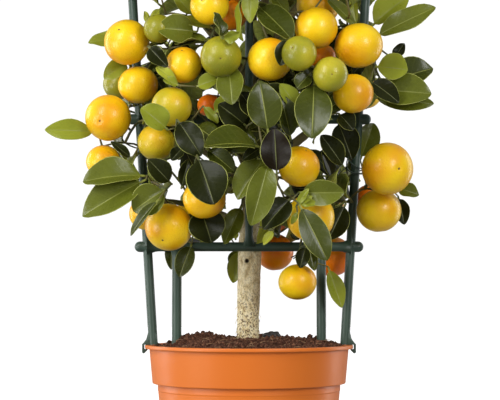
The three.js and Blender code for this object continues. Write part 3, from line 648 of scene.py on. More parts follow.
# Name, middle of the mass's space, the limb its bough leaves from and the height there, the point
# the bough bends towards, its radius at the root, and how many fruit hang where the front is not.
# The first bough is the leader, which the higher ones leave.
MASSES = [
    ("top", (0, 8, 566), "trunk", 250, (3, 10, 400), 7.1, 3),
    ("low_left", (-92, -50, 246), "trunk", 222, (-44, 6, 252), 4.6, 0),
    ("low_right", (92, -48, 242), "trunk", 229, (44, 6, 256), 4.6, 0),
    ("low_front", (0, -84, 266), "trunk", 240, (26, -14, 264), 4.2, 0),
    ("low_back_left", (-62, 80, 246), "trunk", 218, (-26, 40, 250), 4.2, 2),
    ("low_back_right", (64, 82, 258), "trunk", 233, (26, 42, 258), 4.2, 2),
    ("mid_left", (-114, 10, 342), "top", 262, (-70, 14, 318), 5.2, 1),
    ("mid_right", (114, 10, 360), "top", 268, (70, 14, 322), 5.2, 1),
    ("mid_front", (4, -94, 362), "top", 272, (-27, -15, 318), 4.8, 0),
    ("mid_back", (0, 104, 354), "top", 285, (4, 52, 342), 4.8, 4),
    ("upper_left", (-92, 8, 450), "top", 345, (-50, 12, 420), 4.4, 3),
    ("upper_right", (94, 10, 476), "top", 360, (52, 12, 430), 4.4, 3),
    ("upper_front", (0, -82, 468), "top", 372, (25, -12, 420), 4.2, 4),
    ("upper_back", (0, 90, 484), "top", 380, (-3, 50, 440), 4.2, 3),
]


class Mass:
    """One mass of the crown: its space, the bough and stem that carry it, and what grows there."""

    def __init__(self, name, middle, parent, height, bend, girth, unseen_fruit):
        self.name, self.parent, self.height, self.girth = name, parent, height, girth
        self.middle, self.bend, self.unseen_fruit = np.array(middle, float), bend, unseen_fruit
        self.fruits, self.twigs, self.leaves = [], [], []

    def bough(self, beyond=0):
        """The centre line of this mass's bough and its radius, as functions of 0 to 1 along it."""
        def line(t):
            return self.way(np.asarray(t) * (self.entry + beyond))

        def radius_at(t):
            return self.girth + (BOUGH_END_RADIUS - self.girth) * t

        return line, radius_at

    def stem(self, t):
        """Centre line of the stretch that goes on from the bough into the leaves."""
        return self.way(self.entry + (STEM_END - self.entry) * np.asarray(t))


def at_height(line, z):
    """The point of a rising limb's centre line at a height."""
    low, high = 0, 1
    for i in range(30):
        middle = (low + high) / 2
        low, high = (middle, high) if line([middle])[0][2] < z else (low, middle)
    return line([low])[0]


def room_in_cell(points, mass):
    """How far inside its own mass's space each point lies; spaces meet halfway between middles."""
    points = np.atleast_2d(points)
    room = np.full(len(points), np.inf)
    own = ((points - mass.middle) ** 2).sum(1)
    for other in masses:
        if other is not mass:
            lead = ((points - other.middle) ** 2).sum(1) - own
            room = np.minimum(room, lead / (2 * np.linalg.norm(mass.middle - other.middle)))
    return room


def trunk_radius(along):
    height = along * (TRUNK_FORK.z - TRUNK_FOOT.z)
    swell = TRUNK_SWELL * np.sin(np.pi * np.minimum(along, 0.75))
    t = np.clip((along - NARROWS_FROM) / (1 - NARROWS_FROM), 0, 1)
    narrowing = t * t * (3 - 2 * t) * (TRUNK_RADIUS + TRUNK_SWELL - FORK_RADIUS)
    return TRUNK_RADIUS + swell - narrowing + FLARE * np.exp(-height / FLARE_HEIGHT)


def add_barked_limb(bm, line, radius_at, sides, steps, depth):
    """A limb skinned in bark: a grid wrapped round its centre line, pushed out and in by relief."""
    sheet = bmesh.ops.create_grid(bm, x_segments=sides, y_segments=steps, size=0.5)["verts"]
    t = np.array([vert.co.y + 0.5 for vert in sheet])
    turn = np.array([(vert.co.x + 0.5) * 2 * math.pi for vert in sheet])
    ring = np.stack([np.cos(turn), np.sin(turn), t], axis=1)
    core, skin = line(t), along_curve(ring, line, radius_at)
    for vert, middle, point in zip(sheet, core, skin):
        relief = sum(share * spread_noise(*point * (1, 1, stretch), size)
                     for share, stretch, size in BARK_LAYERS)
        away = (point - middle) / np.linalg.norm(point - middle)
        vert.co = (point + away * depth * relief) * MM
    bmesh.ops.remove_doubles(bm, verts=sheet, dist=1e-7)
    left = [vert for vert in sheet if vert.is_valid]
    rims = list({edge for vert in left for edge in vert.link_edges if edge.is_boundary})
    bmesh.ops.holes_fill(bm, edges=rims, sides=0)
    bmesh.ops.recalc_face_normals(bm, faces=list({face for vert in left for face in vert.link_faces}))


masses = [Mass(*row) for row in MASSES]
trunk_line = bend_through(TRUNK_FOOT, TRUNK_LEAN, TRUNK_FORK)
for mass in masses:
    start = at_height(trunk_line if mass.parent == "trunk" else masses[0].way, mass.height)
    mass.way = bend_through(start, mass.bend, mass.middle)
    mass.entry = 1
    while mass.entry > LEAST_BOUGH and room_in_cell(mass.way([mass.entry]), mass)[0] > ENTRY_ROOM:
        mass.entry -= ENTRY_STEP

bark = Finish("bark", Roughness=0.85, Specular_IOR_Level=0.3)
plates = bark.cloud(3.2, 4, (1, 1, 1.8), 0.65)
streaks = bark.cloud(0.9, 3, (1, 1, 1.6), 0.7)
pale = bark.ramp(plates, (0.3, tint("#b59c70")), (0.44, tint("#ead8a8")), (0.6, tint("#fbf0cc")))
height = bark.node("SeparateXYZ", {}, {0: bark.node("TexCoord", output=3)}, output=2)
# The darker green higher up is young wood and also painted shade under the crown.
young_and_shaded_wood = bark.blend(bark.cloud(9), tint("#4b4a28"), tint("#776a44"))
young_and_shaded_share = bark.spread(height + 0.03 * (bark.cloud(12) - 0.5), *YOUNG_AND_SHADED_WOOD)
wood = bark.blend(bark.spread(streaks, 0.42, 0.66) * 0.45, pale, tint("#a58d62"))
specks = bark.spread(bark.cloud(1.3, 3, (1, 1, 1.2), 0.6), 0.5, 0.6)
earthy = bark.spread(height + 0.02 * (bark.cloud(6) - 0.5), *EARTHY_FOOT)
wood = bark.blend(specks * (0.25 + 0.7 * earthy), wood, tint("#583d25"))
spot = bark.node("TexCoord", output=3)
from_knot = bark.node("VectorMath", {"operation": "DISTANCE"}, {0: spot, 1: KNOT * MM}, 1)
wood = bark.blend(bark.spread(from_knot, 1.3 * MM, 2.4 * MM), tint("#1d140b"), wood)
bark.vary("Base Color", bark.blend(young_and_shaded_share, wood, young_and_shaded_wood))
bark.relief(plates + 0.6 * streaks, 0.9)

skin = bmesh.new()
add_barked_limb(skin, trunk_line, trunk_radius, TRUNK_SIDES, TRUNK_STEPS, TRUNK_RELIEF)
for vert in skin.verts:
    x, z = vert.co.x / MM - KNOT.x, vert.co.z / MM - KNOT.z
    if vert.co.y < TRUNK_FOOT.y * MM and abs(x) < KNOT_REACH and abs(z) < KNOT_REACH:
        away = math.hypot(x, z * 1.2)
        hole, brim = [height * math.exp(-((away - radius) / width) ** 2)
                     for height, radius, width in (KNOT_HOLE, KNOT_BRIM)]
        vert.co.y += (hole - brim) * MM
for mass in masses:
    steps = LEADER_STEPS if mass.name == "top" else BOUGH_STEPS
    add_barked_limb(skin, *mass.bough(BOUGH_OVERLAP), BOUGH_SIDES, steps, BOUGH_RELIEF)
limbs = piece_from("bark_skin", skin, [bark], 80)
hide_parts("trunk", *[node for node in frame["nodes"] if node.startswith("bough_")])

strips, strip_shape = [], strand_template(3, 5)
for i in range(STRIPS):
    turn, rise = chance.uniform(0, 2 * math.pi), 1 + STRIP_RISE * chance.uniform() ** 2
    away = np.array([math.cos(turn), math.sin(turn), 0])
    along = rise / (TRUNK_FORK.z - TRUNK_FOOT.z)
    start = trunk_line([along])[0] + away * (trunk_radius(along) + 0.1)
    slip = np.array([chance.uniform(-2, 2), chance.uniform(-2, 2), -chance.uniform(2, 6)])
    end = start + slip + away * chance.uniform(-0.3, 0.3)
    thick = chance.uniform(*STRIP_THICKNESS)
    line = bend_through(start, (start + end) / 2 + away * chance.uniform(0, 0.6), end)
    strips.append(along_curve(strip_shape.corners, line, lambda t: thick * (1 - 0.5 * t)))
piece_of_copies("bark_fibres", strip_shape, strips, [bark])

# ---------------------------------------------------------------- fruit
# Calamondins: small round citrus fruit that ripen from green through yellow to orange, with a thin
# glossy rind full of oil pores, a dimple and a dark scar at the blossom end, and a green calyx.
EYE = np.array([0.8, -1150, 172])
CROWN_MIDDLE = 385
CROWN_HALF_HEIGHT = 235
CROWN_RADIUS = 172
CROWN_DEPTH = 0.88
LEAST_ROOM = 13
FRUIT_DIAMETERS = (28, 37)
FRUIT_CLEAR = 1.5
FRUIT_SPREAD = 90
FRUIT_SHARES = (0.72, 0.86)
FRUIT_ROOMS = (FRUIT_CLEAR, 4, FRUIT_CLEAR, FRUIT_CLEAR)
UNSEEN_DEPTH = 40
FRUIT_TRIES = 200
PLACE_TRIES = 400
HANGING = (0.1, 0, -0.995)
SEEN_HEIGHT = 445
PORE_SIZE = 1.5
FRUIT_SQUASH = 0.95
# The dimples at the stalk and at the blossom end: depth and width, in radii of the fruit.
STALK_DIMPLE = (0.05, 0.17)
BLOSSOM_DIMPLE = (0.04, 0.13)
OUTLINE = np.array([(-1, 0, 0), (1, 0, 0), (0, 0, -1)])
WOOD, FRUIT, TWIG, LEAF = range(4)
# The balls that stand for things in the crowd: how many there may be, and how far apart they lie.
MOST_BALLS = 90000
BAR_SPACING = 3
TRUNK_SPACING = 4
LIMB_SPACING = 3.5
# The first seed of each kind of growth, and the step from one of its streams to the next.
SEEDS = {"fruit": (905, 17), "front leaves": (7000, 29), "twigs": (101, 31), "leaves": (501, 13)}
NEAR = 26
NOTHING_NEAR = 99.0
GREEN, TURNING, RIPE, DEEP = range(4)
UNSEEN_RIPENESS = (RIPE, RIPE, TURNING, RIPE, GREEN, RIPE, DEEP)

# The fruit on the front of the crown: centre x, y, z, diameter, ripeness, and where the blossom
# end shows on the disc, as shares of its radius to the right and up, if it does.
FRONT_FRUIT = [
    (-96, -62, 369, 36, RIPE, (-0.29, 0.43)), (-88, -50, 337, 32, RIPE, None),
    (-111.4, -52, 310.4, 36.6, RIPE, (-0.3, -0.26)), (-70, -82, 376, 23, GREEN, None),
    (-50, -92, 346, 28, RIPE, (-0.06, 0.74)), (-21, -112, 349, 31, GREEN, (0, -0.26)),
    (-59, -92, 314, 31, TURNING, None), (-106, -20, 342, 26, GREEN, None),
    (-30, -98, 391, 30, RIPE, (-0.4, 0.1)), (-14, -68, 390, 26, DEEP, None),
    (-32, -40, 322, 19, DEEP, None), (-72, -70, 289, 29, TURNING, None),
    (-116, -40, 277, 28, RIPE, None), (-62, -72, 223, 37, RIPE, (-0.23, -0.63)),
    (-34, -88, 244, 33, RIPE, None), (-83, -28, 236, 27, RIPE, None),
    (51, -100, 373, 33, RIPE, None), (54, -70, 397, 34, RIPE, None), (84, -92, 361, 37, RIPE, None),
    (16, -106, 348, 34, RIPE, None), (37, -132, 348, 26, GREEN, (-0.45, 0.2)),
    (60, -129, 333, 26, GREEN, (0.05, -0.15)), (79, -99, 323, 31, RIPE, None),
    (58, -62, 357, 21, DEEP, None), (38, -94, 268, 32, RIPE, (0.35, 0.8)),
    (108, -64, 269, 41, RIPE, (0.4, -0.08)), (104, -34, 238, 36, RIPE, None),
    (47, -84, 230, 37, RIPE, None), (70, 28, 203, 35, DEEP, None), (38.6, -34, 181, 30.6, RIPE, (0, -0.97)),
    (22, 42, 207, 32, DEEP, None), (100, 12, 251, 24, DEEP, None),
]


# Small openings in which the background shows through the crown: x and z where they are seen from
# the front, and half their width and height.
OPENINGS = [
    (-87, 364, 2, 2.5), (-36, 388, 2.6, 1.6), (-10, 381, 3.6, 2.4), (-41, 372, 2.2, 3.6),
    (-31, 337, 5, 4), (-97, 323, 2, 3.6), (-96.5, 300, 2.6, 5), (-88, 278, 1.6, 3.6), (-62, 275, 4.2, 7.5),
    (-35, 288, 3.6, 3), (-62, 251, 3, 2), (-55, 262, 1.5, 3.6), (-16, 250, 2.6, 3), (-12, 246, 4, 2.8),
    (-10, 279, 5.5, 4.5), (22, 274, 1.8, 2.5), (29, 263, 3.5, 4), (23, 253, 3, 4.6), (40, 306, 2, 2.6),
    (40, 300, 2, 2), (66, 304, 4, 5), (58, 297, 3, 5), (80, 287, 4, 4.6), (-14, 237, 4, 5),
    (-20, 230, 3.5, 6), (-25, 219, 3.4, 6), (-32, 216, 2, 2), (78, 402, 1.8, 3),
    (-98, 410, 8, 10), (-132, 298, 3, 3), (-124, 350, 3, 6),
]


# How far to the left and right the crown's leaves are seen from the front, by height.
FRONT_EDGE = np.array([
    (212, -70, 70), (226, -84, 79), (257, -106, 90), (290, -115, 100), (300, -115, 97),
    (323, -116, 97), (331, -117, 112), (348, -110, 112), (381, -100, 104), (397, -88, 103),
    (414, -78, 110), (440, -128, 130), (700, -200, 200),
])


def on_sight_line(x, z, y):
    """The point at depth y that is seen from the front where the point (x, 0, z) is."""
    aim = np.array([x, 0, z])
    return EYE + (aim - EYE) * (y - EYE[1]) / -EYE[1]


def seen_at(points):
    """Where points are seen from the front: x and z where their sight lines cross y = 0."""
    points = np.atleast_2d(points)
    share = -EYE[1] / (points[:, 1] - EYE[1])
    return (EYE + (points - EYE) * share[:, None])[:, [0, 2]]


def in_opening(points, margin):
    """Whether any of these points is seen from the front in an opening of the crown."""
    seen = seen_at(points)
    x, z, half_width, half_height = np.array(OPENINGS).T
    across = (seen[:, None, 0] - x) / (half_width + margin)
    upward = (seen[:, None, 1] - z) / (half_height + margin)
    return (across ** 2 + upward ** 2 < 1).any()


def outside_front(points):
    """Whether any of these points is seen from the front past the crown's sides or foot."""
    seen = seen_at(points)
    left = np.interp(seen[:, 1], FRONT_EDGE[:, 0], FRONT_EDGE[:, 1])
    right = np.interp(seen[:, 1], FRONT_EDGE[:, 0], FRONT_EDGE[:, 2])
    return ((seen[:, 0] < left) | (seen[:, 0] > right) | (seen[:, 1] < FRONT_EDGE[0, 0])).any()


def crown_share(points):
    """0 at the crown's middle, 1 on its outline."""
    shares = (np.atleast_2d(points) - (0, 0, CROWN_MIDDLE)) / (
        CROWN_RADIUS, CROWN_RADIUS * CROWN_DEPTH, CROWN_HALF_HEIGHT)
    return np.linalg.norm(shares, axis=1)


class Stream:
    """A repeatable stream of numbers from 0 to 1, one for each kind of growth and index."""

    def __init__(self, kind, index):
        first, step = SEEDS[kind]
        self.state = first + step * index

    def draw(self):
        self.state = (self.state * 1664525 + 1013904223) % 2 ** 32
        return self.state / 2 ** 32

    def between(self, low, high):
        return low + (high - low) * self.draw()


class Crowd:
    """What growth keeps clear of, as balls along each thing: wood, fruit, twigs and leaves."""

    def __init__(self, most):
        self.count = 0
        self.places, self.radii = np.zeros((most, 3)), np.zeros(most)
        self.kinds, self.owners = np.zeros(most, int), np.full(most, None, object)

    def add(self, points, radius, kind, owner=None):
        points = np.atleast_2d(points)
        new = slice(self.count, self.count + len(points))
        self.places[new], self.radii[new], self.kinds[new] = points, radius, kind
        self.owners[new] = owner
        self.count += len(points)

    def add_along(self, line, radius_at, spacing, kind, owner=None):
        span = np.linalg.norm(line([1])[0] - line([0])[0])
        t = np.linspace(0, 1, math.ceil(span * 1.1 / spacing) + 1)
        self.add(line(t), radius_at(t), kind, owner)

    def room(self, points, radius, rooms, ignored=()):
        """The room left about each point, past what each kind of neighbour asks; rooms is a row of
        what wood, fruit, twigs and leaves ask, or such a row for each point."""
        points = np.atleast_2d(points)
        rooms = np.broadcast_to(rooms, (len(points), 4))
        low, high = points.min(0) - NEAR, points.max(0) + NEAR
        places = self.places[: self.count]
        near = np.flatnonzero(((places > low) & (places < high)).all(1))
        if ignored:
            near = np.array([i for i in near if self.owners[i] not in ignored], int)
        if not len(near):
            return np.full(len(points), NOTHING_NEAR)
        apart = np.linalg.norm(points[:, None] - places[near][None], axis=2)
        return (apart - self.radii[near] - radius - rooms[:, self.kinds[near]]).min(1)


def place_in_mass(mass, stream, spread, least, most):
    """A point of a mass's space, near the crown's outline or anywhere inside it."""
    for i in range(PLACE_TRIES):
        point = mass.middle + [(2 * stream.draw() - 1) * spread for axis in range(3)]
        if least <= crown_share(point)[0] <= most and room_in_cell(point, mass)[0] > LEAST_ROOM:
            return point
    return None


class Fruit:
    """One fruit: where it hangs, its size and ripeness, and the way its blossom end points."""

    def __init__(self, centre, radius, ripeness, eye):
        self.centre, self.radius, self.ripeness = np.array(centre, float), radius, ripeness
        self.eye = unit(np.array(eye, float))


def may_hang(centre, radius):
    """Whether a fruit has room there and isn't seen from the front where none shows."""
    low = seen_at(centre)[0, 1] < SEEN_HEIGHT
    if low and (centre[1] < UNSEEN_DEPTH or in_opening(centre, radius)):
        return False
    if low and outside_front(centre + radius * OUTLINE):
        return False
    return crowd.room(centre, radius, FRUIT_ROOMS)[0] >= 0


def nearest_mass(point):
    return min(masses, key=lambda mass: np.linalg.norm(mass.middle - point))


def hang_fruit(mass, fruit):
    mass.fruits.append(fruit)
    crowd.add(fruit.centre, fruit.radius, FRUIT, fruit)


crowd = Crowd(MOST_BALLS)
bars = [((0, TRELLIS_Y, RUNG_HEIGHTS[0]), (0, TRELLIS_Y, TRELLIS_TOP), MIDDLE_RADIUS)]
for side in (-1, 1):
    bars.append((on_leg(side, LEG_FOOT), on_leg(side, TRELLIS_TOP), LEG_RADIUS))
    bars.append(((side * INNER_X, TRELLIS_Y, INNER_FOOT),
                 (side * INNER_X, TRELLIS_Y, RUNG_HEIGHTS[0] - FILLET), INNER_RADIUS))
    for z in RUNG_HEIGHTS:
        bars.append(((0, TRELLIS_Y, z), (side * (leg_x(z) + KNOB_REACH), TRELLIS_Y, z), RUNG_RADIUS))
for start, end, radius in bars:
    middle = (np.array(start) + end) / 2
    crowd.add_along(bend_through(start, middle, end), lambda t: radius, BAR_SPACING, WOOD)
crowd.add_along(trunk_line, trunk_radius, TRUNK_SPACING, WOOD)
for mass in masses:
    crowd.add_along(*mass.bough(), LIMB_SPACING, WOOD)

for x, y, z, diameter, ripeness, eye in FRONT_FRUIT:
    direction = HANGING
    if eye is not None:
        direction = (eye[0], -math.sqrt(1 - eye[0] ** 2 - eye[1] ** 2), eye[1])
    fruit = Fruit((x, y, z), diameter / 2, ripeness, direction)
    hang_fruit(nearest_mass(fruit.centre), fruit)
for index, mass in enumerate(masses):
    stream, tries, hung = Stream("fruit", index), 0, 0
    while hung < mass.unseen_fruit and tries < FRUIT_TRIES:
        tries += 1
        centre = place_in_mass(mass, stream, FRUIT_SPREAD, *FRUIT_SHARES)
        radius = stream.between(*FRUIT_DIAMETERS) / 2
        if centre is not None and may_hang(centre, radius):
            ripeness = UNSEEN_RIPENESS[(hung * 3 + index * 2) % len(UNSEEN_RIPENESS)]
            outward = unit(centre - (0, 0, centre[2])) * (0.25 + 0.5 * (hung % 2))
            hang_fruit(mass, Fruit(centre, radius, ripeness, outward + (0.1 * (index % 3 - 1), 0, -0.8)))
            hung += 1

rind_colours = {
    GREEN: ("#7a7a1b", "#96921f", "#b8ab29"), TURNING: ("#b0a01b", "#c6ad1c", "#d8a818"),
    RIPE: ("#e49c0a", "#ebba0e", "#efc818"), DEEP: ("#f06a06", "#f6840a", "#f89e0e"),
}
rinds = []
for ripeness, colours in rind_colours.items():
    rind = Finish(f"rind_{ripeness}", Specular_IOR_Level=0.3, Coat_Roughness=0.16)
    patches = rind.cloud(26, 2, rough=0.4)
    low, middle, high = (tint(colour) for colour in colours)
    skin_colour = rind.ramp(patches, (0.32, low), (0.5, middle), (0.68, high))
    where = rind.place([PORE_SIZE * MM] * 3)
    pores = rind.node("TexVoronoi", {}, {"Vector": where, "Scale": 1, "Randomness": 0.9})
    pits = rind.spread(pores, 0.1, 0.45)
    rind.vary("Base Color", rind.blend(0.12 - 0.12 * pits, skin_colour, tint("#c98a1c")))
    rind.vary("Roughness", 0.29 + 0.1 * rind.cloud(5, 3))
    rind.vary("Coat Weight", 0.1 + 0.08 * patches)
    rind.relief(pits + 0.5 * rind.cloud(3.5, 2), 0.11)
    rinds.append(rind)
scar = Finish("blossom_scar", Roughness=0.8).mottle(1, "#4e3812", "#7a5a22")


def fruit_template():
    """A round fruit with its stalk end up: dimpled at both ends, its rings closest at the poles."""
    bm = bmesh.new()
    bmesh.ops.create_uvsphere(bm, u_segments=40, v_segments=26, radius=1)
    for face in bm.faces:
        face.smooth = True
        face.material_index = 1 if face.calc_center_median().z < -0.99 else 0
    for vert in bm.verts:
        turn = math.acos(max(-1, min(1, vert.co.z))) / math.pi
        turn = math.pi * (0.3 * turn + 0.35 * (1 - math.cos(math.pi * turn)))
        out = math.sin(turn)
        flat = Vector((vert.co.x, vert.co.y, 0)).normalized() if out > 1e-6 else Vector()
        rise = FRUIT_SQUASH * math.cos(turn)
        depth, width = STALK_DIMPLE if rise > 0 else BLOSSOM_DIMPLE
        dimple = math.copysign(depth * math.exp(-(out / width) ** 2), rise)
        vert.co = Vector((flat.x * out, flat.y * out, rise - dimple))
    bmesh.ops.recalc_face_normals(bm, faces=bm.faces[:])
    return Template(bm)


def turned_to(direction, roll):
    """The three axes of a thing whose Z axis is turned to a direction, as rows."""
    z_axis = unit(np.array(direction, float))
    x_axis = unit(np.cross((0, 0, 1) if abs(z_axis[2]) < 0.9 else (1, 0, 0), z_axis))
    y_axis = np.cross(z_axis, x_axis)
    return np.stack([x_axis * math.cos(roll) + y_axis * math.sin(roll),
                     y_axis * math.cos(roll) - x_axis * math.sin(roll), z_axis])


fruit_shape = fruit_template()
baskets = {ripeness: [] for ripeness in rind_colours}
hanging = [fruit for mass in masses for fruit in mass.fruits]
for i, fruit in enumerate(hanging):
    corners = fruit_shape.corners * (1, 1, 1 + 0.03 * math.sin(i * 2.1))
    bulges = [1 + 0.008 * noise.noise(Vector(corner) * 1.6 + Vector((i * 7, 0, 0))) for corner in corners]
    axes = turned_to(-fruit.eye, i * 1.7)
    corners = corners * np.array(bulges)[:, None]
    baskets[fruit.ripeness].append(fruit.centre + corners @ axes * fruit.radius)
for ripeness, name in enumerate(("fruit_green", "fruit_turning", "fruit_ripe", "fruit_deep")):
    finishes = [rinds[ripeness], scar]
    piece_of_copies(name, fruit_shape, baskets[ripeness], finishes)
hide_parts(*[f"mass_{mass.name}" for mass in masses])

# ---------------------------------------------------------------- twigs and leaves
# Green to brown twigs that branch off the boughs, each with glossy oval leaves set spirally round
# it on short stalks. A leaf has a pale midrib, side veins, a thin pale edge and a matt underside.
GOLDEN_ANGLE = math.radians(137.5)
TWIG_RADIUS = 0.75
TWIG_CLEAR = 0.3
FRUIT_TWIG, LEAF_TWIG = 1.5, 1.25
TWIG_TAPER = 0.35
STEM_TAPER = 0.7
STEM_ROOTS = 12
ROOTS_FROM = 0.2
ROOT_SPACING = 9
TEST_SPACING = 4
FRUIT_END = 6
TWIG_ROOMS = (0.6, 0.8, 0.6, 1.2)
SEEN_COST = 5
OPENING_COST = 2
# How many places of the wood a twig may spring from and how short it may be, and how far it may
# stray out of its mass's space, by whether it must grow.
TWIG_NEEDS = {True: (40, 2), False: (10, 6)}
TWIG_STRAY = {True: 6, False: -1}
STALK_SHARE = 0.11
LEAF_LENGTH = 47
LEAF_WIDTH = 0.54
BLADE_THICKNESS = 0.42
STALK_THICKNESS = 1.1
STALK_HALF_WIDTH = 0.75
STALK_TAPER = 0.85
STALK_BLEND = 5
WAVE_RATE = 9.5
# The finishes of a leaf's faces, and how far across it its edge begins and its midrib reaches.
ABOVE, RIB, BELOW, EDGE = range(4)
EDGE_FROM = 0.95
RIB_WITHIN = 0.02
# Growth keeps out of the view of the front layer: how far behind that still counts as before it,
# and the discs that stand for its fruit, leaves and wires.
FRONT_DEPTH = 4
FRUIT_MARGIN = 0.6
LEAF_DISC = 3.4
LEAF_DISC_SHARE = 0.22
WIRE_DISC = 2
WIRE_DEPTH = 12
# How far a leaf may stray out of its mass's space, how far it keeps from openings, and the room it
# asks of what it may touch.
LEAF_STRAY = 2
LEAF_OPENING = 0.5
MAY_TOUCH = -9
# How many leaves a twig carries at least and how closely, and where along it the first one stands
# and how far back the rest run.
FEWEST_LEAVES = 2
LEAF_SPACING = 6
FIRST_LEAF = 0.92
FIRST_BY_FRUIT = 0.7
LEAF_RUN = 0.8
LEAVES_PER_TWIG = 8
TWIGS_PER_MASS = 24
LEAF_TRIES = 10
TWIG_TRIES = 12
TWIG_SPREAD = 95
INNER_TWIGS = (0.25, 0.9)
OUTER_TWIGS = (0.55, 0.9)
TIP_SPACING = 13
STALK_SEAT = 0.86
LEAF_ROOM = 1.2
CROWN_FOOT = 190
INNER_SHARE = 0.8
HEART = np.array([0, 0, CROWN_MIDDLE - 60])
# The ranges a leaf's shape is drawn from: its fold in degrees, its bend and twist, the height and
# phase of its edge's wave, and the tapers of its foot and its point.
FOLDS, BENDS, TWISTS = (12, 30), (0.15, 0.7), (-0.25, 0.25)
WAVES, PHASES = (0.5, 1.9), (0, 6.3)
FOOT_TAPERS, POINT_TAPERS = (0.62, 0.84), (0.74, 0.92)
FRONT_BENDS = (0.2, 0.5)
# How a leaf leaves its twig: along it, more so at its tip, outward and down, with its face turned
# up; and how it turns and shrinks from one try to the next.
ALONG_TIP, ALONG_TWIG, OUTWARD, DOWNWARD, UPTURN = 1.2, 0.5, 0.4, 0.35, 0.55
TRY_TURN, TRY_SHRINK = 0.9, 0.35
LEAF_SIZES = (0.72, 1.12)
TONE_KEPT = 0.7
BEND_LOSS = 1.03
FOLD_LOSS = 0.97
# Leaf tones: besides real differences between leaves, the darker tones are painted shade and the pale and
# lit tone is painted light and sheen.
DEEPLY_SHADED, SHADED, MIDDLING, PALE_AND_LIT, YOUNG, SHADED_BROWN = range(6)
# The tones of a twig's leaves, the last of which is drawn less often than the others.
TWIG_TONES = (SHADED, MIDDLING, MIDDLING, SHADED, PALE_AND_LIT, MIDDLING, YOUNG)
TONE_REACH = 6.35
